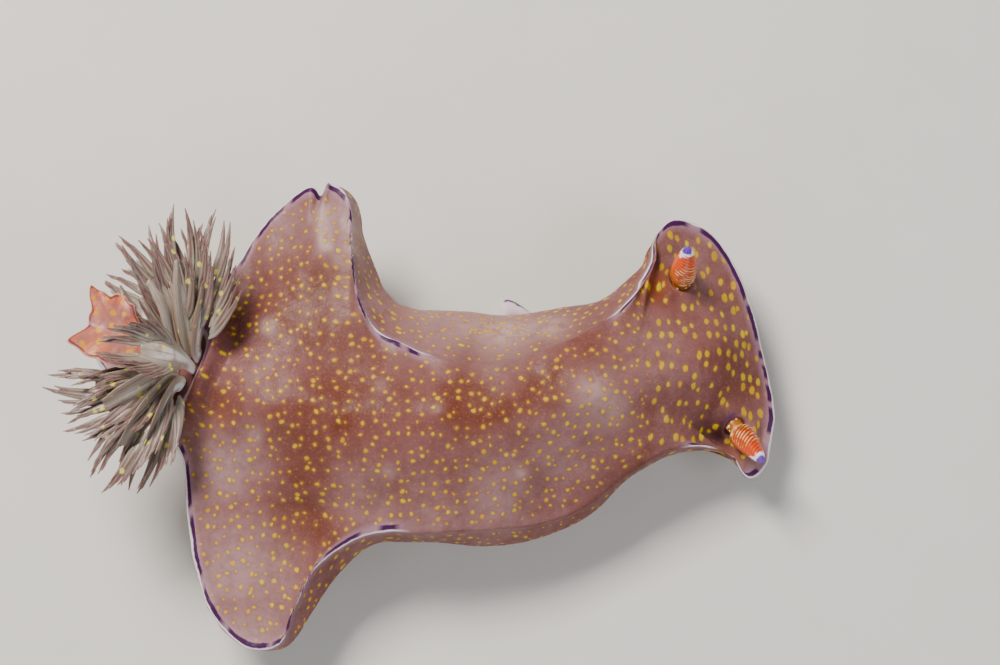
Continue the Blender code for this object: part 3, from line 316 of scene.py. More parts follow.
def rib(station, side):
    """Points of one rib in millimetres, and the level direction out of its edge."""
    loop_place = station if side > 0 else 2 * LAST_STATION - station
    edge = curve_point(EDGE_LOOP, loop_place, closed=True)
    swell = curve_point(SWELL_LOOP, loop_place, closed=True)
    ahead = curve_point(EDGE_LOOP, loop_place - TANGENT_STEP, closed=True)
    behind = curve_point(EDGE_LOOP, loop_place + TANGENT_STEP, closed=True)
    run = (behind - ahead).xy.normalized()
    outward = Vector((run.y, -run.x, 0.0))
    trunk = trunk_along(station)
    spine_along = SPINE_SHARE * trunk
    spine = Vector((spine_along, 0.0, profile(SPINE_HEIGHT, spine_along)))
    girth_along, girth_out = trunk_outline(trunk, side, TRUNK_FRONT, (TRUNK_REAR, 0.0),
                                           GIRTH_LEFT, GIRTH_RIGHT)
    head_share = smooth_step(25.0, 42.0, girth_along)
    girth_height = GIRTH_HEIGHT + (GIRTH_HEIGHT_HEAD - GIRTH_HEIGHT) * head_share
    girth = Vector((girth_along, girth_out, girth_height))
    foot_along, foot_out = trunk_outline(trunk, side, FOOT_FRONT, TAIL_TIP, FOOT_LEFT, FOOT_RIGHT)
    if side > 0:
        foot_out += FOOT_RUFFLE[2] * bell(foot_along - FOOT_RUFFLE[0], FOOT_RUFFLE[1])
    foot = Vector((foot_along, foot_out, 0.0))
    reach = (edge - spine).xy.length
    end_share = bell(reach, BACK_SPREAD)

    def back(share):
        point = spine.lerp(edge, share)
        near = bell(reach * share, BACK_SPREAD)
        point.z = edge.z + (spine.z - edge.z) * (near - end_share) / (1.0 - end_share)
        return point

    inner = min(RIM_INSET / reach, 0.3)
    points = [spine] + [back((1.0 - inner) * i / 6.0) for i in range(1, 7)]
    points.append(edge + Vector((0.0, 0.0, -0.1)))
    points.append(edge + outward * 0.2 + Vector((0.0, 0.0, -RIM_ROUND)))
    crest = edge + outward * swell.x + Vector((0.0, 0.0, -swell.y))
    overhang = smooth_step(1.0, 9.0, (crest - spine).xy.length - (girth - spine).xy.length)
    root = girth.lerp(crest, BRIM_ROOT_SHARE)
    root_share = min((root - spine).xy.length / reach, 1.0)
    hung = back(root_share).z - BRIM_ROOT_THICKNESS
    root.z = (1.0 - overhang) * (0.45 * crest.z + 0.55 * girth.z) + overhang * max(hung, girth.z + 1.0)
    middle = root.lerp(crest, BRIM_MIDDLE_SHARE)
    middle_share = min((middle - spine).xy.length / reach, 1.0)
    thin = back(middle_share).z - BRIM_THICKNESS
    middle.z = (1.0 - overhang) * middle.z + overhang * min(thin, middle.z + 2.0)
    points += [crest, middle, root, girth]
    points += foot_side(girth, foot, smooth_step(*TAIL_STATIONS, station))
    edge_out = place(*(edge + outward)) - place(*edge)
    return [place(*point) for point in points], edge_out


# %% [markdown]
# ## The skin as a fine net
#
# The ribs are drawn close together and each is filled in with a smooth curve, which gives a net
# of small squares. A subdivision surface over coarse ribs would round the brim's thin edge
# away, and a remesh would lose the lines along the edge that the purple marks need.

# %% Net of the skin
RIB_SPACING = 0.52
FILL = [8] * 6 + [4, 3, 6, 6, 6, 4, 6, 5, 4, 3, 2, 3, 3]
EDGE_COLUMN = sum(FILL[:7])
CREST_COLUMN = sum(FILL[:9])
GIRTH_COLUMN = sum(FILL[:12])
NECK_COLUMN = sum(FILL[:14])
FOOT_COLUMN = sum(FILL[:16])


def rib_stations(spacing):
    """Stations of the ribs, so that the edge's points lie about one spacing apart."""
    stations = []
    for i in range(LAST_STATION):
        spans = [(Vector(STATIONS[i + 1][side][:3]) - Vector(STATIONS[i][side][:3])).length
                 for side in (1, 2)]
        steps = max(1, round(max(spans) / spacing))
        stations += [i + step / steps for step in range(steps)]
    return stations + [float(LAST_STATION)]


def fill_rows(rows, steps):
    """Rows close together on smooth curves through a few rows; the end rows only guide them."""
    found = []
    for span, count in enumerate(steps):
        four = [rows[span + i] for i in range(4)]
        knots = [np.zeros((rows.shape[1], 1))]
        for start, end in zip(four, four[1:]):
            gap = np.linalg.norm(end - start, axis=1, keepdims=True)
            knots.append(knots[-1] + np.sqrt(np.maximum(gap, 0.01)))
        found += [between(four, knots, knots[1] + step / count * (knots[2] - knots[1]))
                  for step in range(count)]
    return np.array(found + [rows[-2]])


stations = rib_stations(RIB_SPACING)
HALF = len(stations)
loop = [(station, 1) for station in stations] + [(station, -1) for station in stations[1:-1]][::-1]
RIBS = len(loop)
mirror = [(-i) % RIBS for i in range(RIBS)]
drawn = [rib(*one) for one in loop]
coarse = np.array([[tuple(point) for point in points] for points, way in drawn])
edge_way = np.array([tuple(way.xy.normalized()) for points, way in drawn])
guided = np.concatenate([coarse[mirror, 1:2], coarse, coarse[mirror, -2:-1]], axis=1)
net = fill_rows(guided.transpose(1, 0, 2), FILL).transpose(1, 0, 2).copy()
COLUMNS = net.shape[1]
print("skin net:", RIBS, "ribs of", COLUMNS, "points")

# %% [markdown]
# ## Smoothing
#
# Ribs that turn under a folded brim come close to each other, and the net creases there. A
# few rounds of averaging even it out, and the edge itself is left alone so that it stays
# crisp. The lengths along and across the net are then measured, for the marks that follow.

# %% Smoothing under the brim


def soften(values, columns, rounds, share=0.5):
    """Evens out the net between two columns, and leaves the rest as it is."""
    low, high = columns
    for _ in range(rounds):
        around = 0.25 * (np.roll(values, 1, 0) + np.roll(values, -1, 0))[:, 1:-1]
        around = around + 0.25 * (values[:, :-2] + values[:, 2:])
        values[:, low:high] += share * (around[:, low - 1:high - 1] - values[:, low:high])
    return values


net = soften(net, (EDGE_COLUMN + 5, NECK_COLUMN), 14)
net = soften(net, (4, EDGE_COLUMN - 5), 40)
arc = np.zeros((RIBS, COLUMNS))
arc[:, 1:] = np.cumsum(np.linalg.norm(np.diff(net, axis=1), axis=2), axis=1)
rim_depth = arc[:, EDGE_COLUMN][:, None] - arc
foot_depth = arc - arc[:, FOOT_COLUMN][:, None]
edge_points = net[:, EDGE_COLUMN]
edge_steps = np.linalg.norm(np.roll(edge_points, -1, 0) - edge_points, axis=1)
edge_run = np.concatenate([[0.0], np.cumsum(edge_steps)[:-1]])
print("edge of the mantle, mm:", round(float(edge_steps.sum()), 1))

# %% [markdown]
# ## Flat map of the skin
#
# Spots on skin must stay round where it turns down, so the spot pattern needs a map that keeps
# lengths. On the back the map is almost the view from above. Past the edge it goes on outward
# by the length of the skin, like a cloth laid flat. A projection from one side would stretch
# every spot on the flanks.

# %% Skin map
first_way = coarse[:, 7, :2] - coarse[:, 0, :2]
first_way /= np.linalg.norm(first_way, axis=1, keepdims=True)
turn_share = np.zeros(COLUMNS)
turn_share[EDGE_COLUMN:] = 1.0
turn_share = turn_share[None, :, None]
way = first_way[:, None] * (1.0 - turn_share) + edge_way[:, None] * turn_share
plan_map = np.zeros((RIBS, COLUMNS, 2))
plan_map[:, 0] = net[:, 0, :2]
plan_map[:, 1:] = plan_map[:, :1] + np.cumsum(way[:, 1:] * np.diff(arc, axis=1)[:, :, None], axis=1)
print("map, mm:", plan_map.min((0, 1)).round(1), plan_map.max((0, 1)).round(1))

# %% [markdown]
# ## Relief
#
# Real skin over muscle is never even. Broad low lumps, folds where the brim turns, and a gentle
# wave along its rim are moved into the mesh itself, because they change the outline and the
# light. Only pores and the finest wrinkles are left to bump.

# %% Tables of relief
# Ridges and grooves: two ends, each as along and out, then half width and height.
FOLDS = [
    ((-35.8, 32.6), (-30.0, 24.5), 2.4, 0.9),
    ((-27.5, 31.5), (-22.0, 25.5), 2.2, 0.5),
    ((-24.5, 26.0), (-18.0, 16.0), 2.2, 0.7),
    ((-2.0, 16.6), (12.5, 12.4), 0.8, -0.7),
    ((1.0, 14.8), (17.0, 11.0), 1.0, 0.6),
    ((10.0, 13.6), (23.0, 11.6), 0.7, -0.6),
    ((-9.0, 13.0), (2.0, 11.5), 1.6, 0.5),
    ((38.5, 14.2), (43.6, 19.0), 2.0, 0.5),
    ((36.5, 11.6), (41.5, 13.0), 2.6, -0.5),
    ((38.0, -13.2), (42.0, -14.4), 1.9, -1.2),
    ((42.0, -18.5), (46.5, -13.5), 1.4, 0.6),
    ((-36.0, -5.0), (-27.0, -9.5), 2.0, -0.8),
    ((-33.0, -8.5), (-20.0, -12.5), 2.4, 0.7),
    ((-30.0, -16.0), (-24.0, -30.0), 3.0, 0.6),
    ((-36.5, 12.0), (-33.5, 27.0), 3.2, 0.6),
    ((16.0, -13.0), (30.0, -11.0), 2.2, 0.5),
    ((-20.0, -14.5), (-12.0, -14.0), 2.0, -0.5),
]
# Lumps and hollows: along, out, radius and height.
LUMPS = [
    (22.6, -1.3, 4.0, 0.7), (-29.7, -3.5, 3.6, 0.5), (-34.8, 10.6, 4.0, 0.6), (-2.7, 1.5, 3.0, 0.4),
    (8.7, -9.4, 3.0, 0.5), (-10.0, -8.4, 3.0, 0.4), (-18.0, 6.0, 6.0, -0.8), (2.8, 5.2, 4.5, -0.6),
    (-21.6, -15.0, 4.5, -0.8), (14.7, 3.5, 4.0, -0.5), (33.0, 1.0, 4.0, 0.5), (31.0, -7.0, 4.0, -0.5),
    (39.4, 11.6, 3.0, -0.4), (40.4, -12.2, 2.6, -0.9), (45.5, 2.0, 4.0, 0.4), (-40.0, 22.0, 4.5, 0.5),
]
# Pleats of the rim: place on the loop of stations, half width, pull inward and drop.
PLEATS = [(18.12, 0.2, 1.6, 1.5), (17.84, 0.11, -0.5, -0.8)]
PLEAT_REACH = 5.0
WAVE_HEIGHT = 0.34
WAVE_LENGTH = 8.5
WAVE_REACH = 4.5
# Broad and fine lumps: how many to a millimetre, and height.
LUMP_SCALES = [(0.085, 0.42), (0.2, 0.16), (0.46, 0.06)]
# What all skin but the sole keeps clear of the floor.
FLOOR_GAP = 0.25
print("folds:", len(FOLDS), "lumps:", len(LUMPS), "pleats:", len(PLEATS))

# %% [markdown]
# ## Folds and lumps as heights
#
# A fold is a ridge or a groove along a straight piece of line, and a lump is round. Both fade
# as a bell curve does, which leaves no step on the skin.

# %% Relief tools


def loop_places():
    """Place of each rib on the closed loop of stations."""
    return np.array([station if side > 0 else 2 * LAST_STATION - station for station, side in loop])


def to_segment(spots, start, end):
    """Distance in plan from each spot to a straight piece of line."""
    run = end - start
    share = np.clip(((spots - start) @ run) / (run @ run), 0.0, 1.0)
    return np.linalg.norm(spots - start - share[:, None] * run, axis=1)


def fold_height(spots):
    """Height of all folds and lumps at spots seen from above."""
    height = np.zeros(len(spots))
    for start, end, width, rise in FOLDS:
        distance = to_segment(spots, np.array(place(*start))[:2], np.array(place(*end))[:2])
        height += rise * bell(distance, width)
    for along, out, radius, rise in LUMPS:
        distance = np.linalg.norm(spots - np.array(place(along, out))[:2], axis=1)
        height += rise * bell(distance, radius)
    return height


def normals_of(points):
    """Outward directions of the net, from the runs along and across it."""
    across = np.empty_like(points)
    across[:, 1:-1] = points[:, 2:] - points[:, :-2]
    across[:, 0] = points[:, 1] - points[mirror, 1]
    across[:, -1] = points[mirror, -2] - points[:, -2]
    along = np.roll(points, -1, 0) - np.roll(points, 1, 0)
    found = np.cross(along, across)
    found /= np.maximum(np.linalg.norm(found, axis=2, keepdims=True), 1e-9)
    middle = found[0, 1] + found[RIBS // 4, 1]
    return found if middle[2] > 0.0 else -found


# %% [markdown]
# ## Relief on the net
#
# All the relief is added at once, straight out from the skin. Folds count most where the skin
# faces up. The rim gets a wave of its own, and nothing may go below the floor.

# %% Relief on the net
normals = normals_of(net)
flat = net.reshape(-1, 3)
upper = np.clip(normals[..., 2], 0.0, 1.0).reshape(-1)
low_lumps = np.zeros(len(flat))
for scale, height in LUMP_SCALES:
    low_lumps += height * np.array([noise.noise(Vector(point) * scale) for point in flat])
height = low_lumps * smooth_step(0.2, 6.0, flat[:, 2]) + fold_height(flat[:, :2]) * upper ** 2
edge_wave = (np.sin(math.tau * edge_run / WAVE_LENGTH) * 0.6
             + np.array([noise.noise(Vector((run * 0.16, 3.0, 7.0))) for run in edge_run]))
wave = WAVE_HEIGHT * edge_wave[:, None] * bell(rim_depth, WAVE_REACH)
moved = net + normals * height.reshape(RIBS, COLUMNS)[..., None]
moved[..., 2] += wave
inward = net[:, 0, None, :2] - net[:, EDGE_COLUMN, None, :2]
inward /= np.linalg.norm(inward, axis=2, keepdims=True)
for place_on, half, pull, drop in PLEATS:
    at_pleat = bell(loop_places() - place_on, half)[:, None] * bell(rim_depth, PLEAT_REACH)
    moved[..., :2] += inward * (pull * at_pleat)[..., None]
    moved[..., 2] -= drop * at_pleat
lifted = np.maximum(moved[..., 2], FLOOR_GAP)
moved[..., 2] = np.where(np.arange(COLUMNS)[None, :] >= FOOT_COLUMN, net[..., 2], lifted)
moved[..., 2] = np.maximum(moved[..., 2], 0.0)
net_raised = moved
print("relief, mm:", round(float(height.min()), 2), "to", round(float(height.max()), 2))

# %% [markdown]
# ## Collars
#
# The gills stand in a pocket with a raised rim, and each rhinophore in a small sheath. All
# three are the same form: skin that rises to a ring and drops to a floor inside it. They are
# pushed up out of the skin's own net, so they flow into the back as the real ones do, where a
# fused ring would show its join.

# %% Collars
POCKET_PLACE = (-44.6, -1.2)
POCKET_LEAN = math.radians(18.0)
POCKET_RIM_HEIGHT = 2.3
POCKET_FLOOR = 1.6
POCKET_OPENING = (3.4, 6.8)
POCKET_WALL = 2.2
POCKET_SET_IN = 0.5
# Powers that round the corners of an opening: 2 gives an ellipse, and more a fuller oblong.
POCKET_CORNER = 3.2
ROUND_CORNER = 2.0
# Where the base and the tip of each stand, and how far the tip rises above the base.
RHINOPHORES = {
    "rhinophore_left": ((43.3, 12.0), (45.0, 15.2), 10.0),
    "rhinophore_right": ((43.2, -12.2), (44.6, -20.2), 5.0),
}
SHEATH_OPENING = 1.9
SHEATH_HEIGHT = 0.9
SHEATH_DEPTH = 1.0
SHEATH_WALL = 0.8
# How far a collar's outer side runs out into the skin, and a distance that means no collar.
COLLAR_SLOPE = 2.2
FAR = 99.0


def net_faces():
    """Faces of the net, whose left and right ribs share the ridge and the sole's middle."""
    inner = COLUMNS - 2
    top = RIBS * inner
    sole = top + HALF
    faces = []
    for i in range(RIBS):
        after = (i + 1) % RIBS
        here, there = (i if i < HALF else RIBS - i), (after if after < HALF else RIBS - after)
        one = [top + here] + list(range(i * inner, (i + 1) * inner)) + [sole + here]
        two = [top + there] + list(range(after * inner, (after + 1) * inner)) + [sole + there]
        faces += [(one[j], one[j + 1], two[j + 1], two[j]) for j in range(COLUMNS - 1)]
    return faces


def net_values(values):
    """Values of the net in the order of its vertices."""
    inner = values[:, 1:-1].reshape(-1, *values.shape[2:])
    return np.concatenate([inner, values[:HALF, 0], values[:HALF, -1]])


def surface_height(tree, point):
    """Height of the back in millimetres straight above or below a point."""
    return tree.ray_cast(Vector((point.x, point.y, 100.0)), Vector((0.0, 0.0, -1.0)))[0].z


print("faces of the skin:", len(net_faces()))

# %% [markdown]
# ## Shape of a collar
#
# A collar is given by its opening, the thickness of its wall, how far it rises and how deep
# its floor lies. How far each vertex lies past the opening is kept, because the finish draws
# lines and shades by it.

# %% Shape of a collar


def collar(points, foot, lean, ahead, opening, corner, wall, rise, floor):
    """Raises a ring of skin round an axis, and sets a floor inside it."""
    foot, lean = np.array(foot), np.array(lean)
    level = np.array(ahead) - lean * np.dot(ahead, lean)
    level /= np.linalg.norm(level)
    left = np.cross(lean, level)
    near = np.where(np.linalg.norm(points - foot, axis=1) < max(opening) + wall + 5.0)[0]
    offset = points[near] - foot
    high = offset @ lean
    near, offset, high = near[high > -4.0], offset[high > -4.0], high[high > -4.0]
    share = np.abs(offset @ level / opening[0]) ** corner + np.abs(offset @ left / opening[1]) ** corner
    share = share ** (1.0 / corner)
    past = (share - 1.0) * 0.5 * sum(opening)
    swell = rise * (1.0 - smooth_step(wall * 0.6, wall + COLLAR_SLOPE, past))
    inside = 1.0 - smooth_step(-0.7, wall * 0.4, past)
    ring = np.maximum(high + swell, high)
    target = (1.0 - inside) * ring + inside * floor
    points[near] += lean * (target - high)[:, None]
    return near, past


faces = net_faces()
points = net_values(net_raised)
tree = BVHTree.FromPolygons([tuple(p) for p in points], faces)
pocket = place(*POCKET_PLACE)
pocket.z = surface_height(tree, pocket) - POCKET_SET_IN
pocket_ahead = axis_frame(POCKET_PLACE[0])[1].to_3d()
pocket_lean = Vector((0.0, 0.0, math.cos(POCKET_LEAN))) - pocket_ahead * math.sin(POCKET_LEAN)
collar_reach = np.full(len(points), FAR)
near, past = collar(points, pocket, pocket_lean, pocket_ahead, POCKET_OPENING, POCKET_CORNER,
                    POCKET_WALL, POCKET_RIM_HEIGHT, POCKET_FLOOR)
collar_reach[near] = past
sheaths = {}
sheath_reach = np.full(len(points), FAR)
for name, (base, tip, rise) in RHINOPHORES.items():
    foot = place(*base)
    foot.z = surface_height(tree, foot)
    top = place(*tip, foot.z + rise)
    sheaths[name] = (foot, (top - foot).normalized(), (top - foot).length)
    near, past = collar(points, foot, sheaths[name][1], pocket_ahead, (SHEATH_OPENING,) * 2,
                        ROUND_CORNER, SHEATH_WALL, SHEATH_HEIGHT, SHEATH_HEIGHT - SHEATH_DEPTH)
    sheath_reach[near] = np.minimum(sheath_reach[near], past)
print("pocket at", [round(value, 1) for value in pocket], "sheaths:", len(sheaths))

# %% [markdown]
# ## Mouth
#
# The mouth is a short level slit between two feelers, low on the snout and hidden from above.
# It is pressed into the net with soft lips, so that it stays part of the skin.

# %% Mouth
MOUTH_PLACE = (46.9, 0.0, 5.6)
MOUTH_HALF_WIDTH = 2.4
MOUTH_HALF_HEIGHT = 0.42
MOUTH_DEPTH = 1.4
LIP_SWELL = 0.35
# The lips' middle and width, in half widths of the slit.
LIP_PLACE = 2.6
LIP_WIDTH = 1.1
mouth_ahead = axis_frame(MOUTH_PLACE[0])[1].to_3d()
offset = points - np.array(place(*MOUTH_PLACE))
deep = offset @ np.array(mouth_ahead)
across = offset @ np.array((-mouth_ahead.y, mouth_ahead.x, 0.0))
ring = np.hypot(across / MOUTH_HALF_WIDTH, offset[:, 2] / MOUTH_HALF_HEIGHT)
facing = (deep > -4.0) & (np.abs(across) < 6.0) & (points[:, 2] > 3.0) & (points[:, 2] < 9.0)
press = LIP_SWELL * bell(ring - LIP_PLACE, LIP_WIDTH) - MOUTH_DEPTH * bell(ring, 1.0)
points[facing] += np.array(mouth_ahead) * press[facing][:, None]
print("mouth pressed in over", int((facing & (ring < 1.0)).sum()), "points")

# %% [markdown]
# ## Marks that the skin carries
#
# Colour follows the body: purple dashes run along the edge and lobes are pale. Shade is painted
# into hollows and under the brim, and highlights onto lumps, ridges and the lit left side. Each
# such mark is stored as a number at every vertex, worked out from named places. A painted
# picture would tie the model to one resolution.

# %% Tables of marks
# Purple dashes on the mantle's edge, as stretches of the loop of stations.
DASHES = [
    (0.1, 0.85), (0.98, 2.95), (3.4, 4.45), (4.72, 4.95), (5.35, 6.75), (7.2, 7.75),
    (11.78, 12.06), (12.25, 12.86), (13.5, 14.15), (14.45, 15.05), (15.92, 16.36), (16.82, 17.8),
    (18.05, 19.12), (19.34, 20.15), (20.36, 20.78), (20.95, 21.15), (21.9, 22.5), (24.0, 24.6),
    (24.9, 25.12), (25.3, 26.15), (26.3, 27.32), (27.54, 28.3), (28.44, 29.6), (29.74, 30.16),
    (30.36, 30.98), (31.14, 31.42), (31.48, 31.86), (32.04, 32.76), (33.14, 33.5), (38.5, 38.98),
    (40.0, 40.34), (40.5, 41.7), (43.15, 44.02), (44.22, 44.8), (45.0, 45.4), (45.6, 45.85),
]
# Soft patches: along, out, radius and strength.
WARM_PATCHES = [
    (-17.6, 2.1, 8.0, 0.9), (-22.8, 13.0, 6.0, 0.8), (2.8, 3.2, 6.5, 0.9), (-21.6, -15.6, 7.0, 0.75),
    (14.7, 2.5, 5.0, 0.7), (-39.6, 11.0, 5.0, 0.5), (-38.6, -3.8, 5.0, 0.6), (22.3, -13.0, 5.5, 0.6),
    (-1.1, -10.0, 6.0, 0.35), (25.7, 5.9, 4.0, 0.5), (-27.0, 19.0, 5.0, 0.6), (-8.0, 4.5, 6.0, 0.6),
    (-28.0, 0.0, 5.0, 0.5), (47.0, 2.0, 5.0, 0.35), (41.0, 6.5, 4.0, 0.35), (9.0, 8.0, 3.5, 0.5),
    (-33.5, 14.0, 6.0, 0.7), (-36.5, 4.0, 5.0, 0.4), (-24.0, 20.0, 4.0, 0.5), (-38.0, 20.0, 5.0, 0.5),
    (46.0, 8.0, 8.0, 0.2), (36.0, -4.0, 7.0, 0.15),
]
# Painted highlights: pale patches on the tops of lumps and along the crest of the left side.
PAINTED_HIGHLIGHT_PATCHES = [
    (22.6, -1.3, 3.4, 0.36), (24.5, -4.5, 2.8, 0.28), (-29.7, -6.4, 1.1, 0.45),
    (-34.8, 10.6, 1.3, 0.45), (-2.7, 1.5, 1.1, 0.25), (8.7, -9.4, 1.1, 0.35),
    (-10.0, -8.4, 1.1, 0.25), (-12.0, 5.0, 1.0, 0.2),
    (4.0, 18.0, 4.2, 0.5), (12.0, 15.5, 4.2, 0.75), (-4.0, 19.5, 3.6, 0.3), (20.0, 13.0, 3.6, 0.5),
    (-24.0, 25.0, 3.0, 0.3), (8.0, 18.0, 4.2, 0.65), (16.0, 15.0, 4.0, 0.6),
]
LILAC_PATCHES = [
    (-40.0, 27.0, 7.0, 0.45), (-31.0, 32.0, 7.0, 0.7), (-33.0, -12.5, 6.5, 0.85),
    (-13.0, -13.0, 6.0, 0.45), (5.0, -12.0, 7.0, 0.6), (14.0, -8.0, 6.0, 0.5),
    (-36.5, -20.0, 6.5, 0.8), (-27.4, -27.0, 9.5, 0.85), (-24.0, -36.0, 7.0, 0.8),
    (33.4, 2.3, 7.0, 0.35), (-3.0, 14.5, 7.0, 0.5), (-4.1, -14.2, 7.0, 0.45),
    (46.0, 14.0, 7.0, 0.3), (42.0, -17.0, 6.0, 0.5), (10.0, 10.5, 6.0, 0.4),
    (-15.0, 20.0, 6.0, 0.35), (20.0, -6.0, 7.0, 0.35), (50.0, 4.0, 7.0, 0.15),
]
# Painted highlights along the ridges of pleats: two ends, half width and strength.
PAINTED_RIDGE_HIGHLIGHTS = [((-34.5, 31.5), (-30.5, 26.0), 1.3, 0.55), ((-27.0, 31.0), (-22.8, 27.4), 1.3, 0.6)]
# Orange brown: painted shade in the hollows beside the rhinophores, and rust brown near the gills.
RUST_AND_SHADE_PATCHES = [
    (39.4, 12.6, 3.2, 1.0), (41.6, 12.4, 2.4, 0.8), (-35.0, -5.5, 2.2, 0.35), (-44.5, -10.0, 2.2, 0.4),
    (41.5, -16.5, 2.6, 0.8),
]
SHADE_PATCHES = [
    (40.6, 10.2, 1.6, 0.5), (40.6, -12.6, 2.7, 0.9), (41.8, -11.2, 1.7, 0.6), (-33.0, -7.2, 2.4, 0.4),
    (37.4, -14.6, 2.2, 0.35), (-40.8, -2.0, 2.6, 0.3),
]
COLLAR_LINE = [(-43.2, 9.0, 3.0, 1.0), (-43.2, 5.4, 3.0, 1.0), (-43.2, 2.0, 2.6, 0.9),
               (-41.6, -9.6, 2.4, 0.5)]
SHEATH_MARK = [(42.8, -10.3, 1.3, 1.0)]
# Stretches of the edge where the skin rolls over with no white line.
BARE_EDGE = [(8.0, 11.55), (33.6, 38.35), (39.1, 39.85)]
# Stretch where the purple dash lies on the rolled-out side of the edge, and how far out.
TURNED_EDGE = [(5.2, 7.0)]
EDGE_TURN = 1.5
# The foot's dashes: length of a dash with its gap, the dash's share of it, and its soft end.
FOOT_DASH = 11.0
FOOT_DASH_SHARE = 0.62
FOOT_DASH_SOFT = 0.08
# The flanks under the brim are painted darker as shade; the lit left side keeps only this share of it.
LEFT_FLANK_SHADE_SHARE = 0.2
# The shade inside the pocket: strength, middle and half width of the band it fills.
POCKET_SHADE = (0.55, -1.8, 1.4)
print("dashes:", len(DASHES), "lilac patches:", len(LILAC_PATCHES))

# %% [markdown]
# ## From tables to numbers
#
# Each table becomes one number at every vertex. A patch is a bell in the view from above, and a
# dash follows the edge, so its strength is worked out once for a rib and holds for all of it.

# %% Patches, strokes and dashes


def dashes_at(places, stretches, soft):
    """Strength of the dashes at places, with soft ends."""
    found = np.zeros(len(places))
    for start, end in stretches:
        begun = smooth_step(start - soft, start + soft, places)
        ended = smooth_step(end - soft, end + soft, places)
        found = np.maximum(found, begun * (1.0 - ended))
    return found


def patches(spots, rows):
    """Strength of soft patches at spots seen from above."""
    found = np.zeros(len(spots))
    for along, out, radius, strength in rows:
        distance = np.linalg.norm(spots - np.array(place(along, out))[:2], axis=1)
        found = np.maximum(found, strength * bell(distance, radius))
    return found


def strokes(spots, rows):
    """Strength of soft strokes at spots seen from above."""
    found = np.zeros(len(spots))
    for start, end, width, strength in rows:
        distance = to_segment(spots, np.array(place(*start))[:2], np.array(place(*end))[:2])
        found = np.maximum(found, strength * bell(distance, width))
    return found


def rib_values(values):
    """One value for each rib, in the order of the net's vertices."""
    return net_values(np.repeat(np.asarray(values, float)[:, None], COLUMNS, axis=1))


print("bare stretches of the edge:", len(BARE_EDGE))

# %% [markdown]
# ## The marks themselves
#
# Each mark is kept to the part of the skin that it belongs to: the top, the flank, the left
# side or the foot.

# %% Marks on the skin
places = loop_places()
spots_plan = points[:, :2]
edge_white = 1.0 - dashes_at(places, BARE_EDGE, 0.25)
foot_points = net[:, FOOT_COLUMN]
foot_run = np.concatenate([[0.0], np.cumsum(np.linalg.norm(np.diff(foot_points, axis=0), axis=1))])
foot_phase = foot_run / FOOT_DASH + 0.3 * np.sin(foot_run * 0.13) + 0.16 * np.sin(foot_run * 0.31 + 1.0)
dash_start = 0.5 * FOOT_DASH_SOFT
foot_dash = dashes_at(foot_phase % 1.0, [(dash_start, FOOT_DASH_SHARE + dash_start)], dash_start)
under = net_values(np.repeat(np.arange(float(COLUMNS))[None, :], RIBS, axis=0))
top_share = 1.0 - smooth_step(CREST_COLUMN - 4.0, GIRTH_COLUMN, under)
below_crest = smooth_step(CREST_COLUMN - 6.0, GIRTH_COLUMN, under)
foot_place = rib_values([trunk_along(station) for station, side in loop])
left_side = rib_values([side > 0 for station, side in loop])
left_side = left_side * smooth_step(-50.0, -34.0, foot_place) * smooth_step(46.0, 34.0, foot_place)
flank_shade_share = 1.0 - (1.0 - LEFT_FLANK_SHADE_SHARE) * left_side
rim_shift = EDGE_TURN * dashes_at(places, TURNED_EDGE, 0.25)
rim_spots = net_values(rim_depth + rim_shift[:, None])
ahead_of_middle = points[:, 0] + CENTRE_X
# Painted highlights, from the pale patches and the pale strokes along pleats.
pale = np.maximum(patches(spots_plan, PAINTED_HIGHLIGHT_PATCHES), strokes(spots_plan, PAINTED_RIDGE_HIGHLIGHTS))
in_pocket = bell(collar_reach - POCKET_SHADE[1], POCKET_SHADE[2])
marks = {
    "rim_depth": rim_spots,
    "rim_dash": rib_values(dashes_at(places, DASHES, 0.06)),
    "foot_depth": net_values(foot_depth),
    "foot_dash": rib_values(foot_dash),
    "warm": patches(spots_plan, WARM_PATCHES) * top_share,
    "pale": pale * top_share,
    "rust_and_shade": patches(spots_plan, RUST_AND_SHADE_PATCHES) * top_share,
    "front": smooth_step(12.0, 4.0, rim_spots) * smooth_step(30.0, 42.0, ahead_of_middle),
    "lilac": patches(spots_plan, LILAC_PATCHES) * top_share,
    "shade": np.maximum(patches(spots_plan, SHADE_PATCHES) * top_share, POCKET_SHADE[0] * in_pocket),
    # Painted shade on the flanks under the brim, weak on the lit left side.
    "flank": below_crest * (1.0 - smooth_step(NECK_COLUMN, FOOT_COLUMN, under)) * flank_shade_share,
    "ruffle": bell(foot_place - FOOT_RUFFLE[0], 1.3 * FOOT_RUFFLE[1]) * left_side,
    # Painted light: the lit left wall of the body is paler, and its spots are larger.
    "left_wall_light": below_crest * left_side * smooth_step(26.0, 14.0, foot_place)
    * (1.0 - 0.6 * smooth_step(GIRTH_COLUMN, NECK_COLUMN, under)),
    "sole": smooth_step(NECK_COLUMN - 1.0, FOOT_COLUMN - 2.0, under),
    "collar_reach": collar_reach,
    "collar_line": patches(spots_plan, COLLAR_LINE),
    "sheath_mark": patches(spots_plan, SHEATH_MARK),
    "edge_white": rib_values(edge_white),
    "sheath_reach": sheath_reach,
    "head": smooth_step(20.0, 40.0, ahead_of_middle),
}
print("marks:", ", ".join(marks))

# %% [markdown]
# ## Colours and node helper
#
# Every colour is an sRGB hex value as seen on the animal, turned to linear light by one
# function. A finish is a tree of nodes, and one small helper adds any node with its settings
# and links.

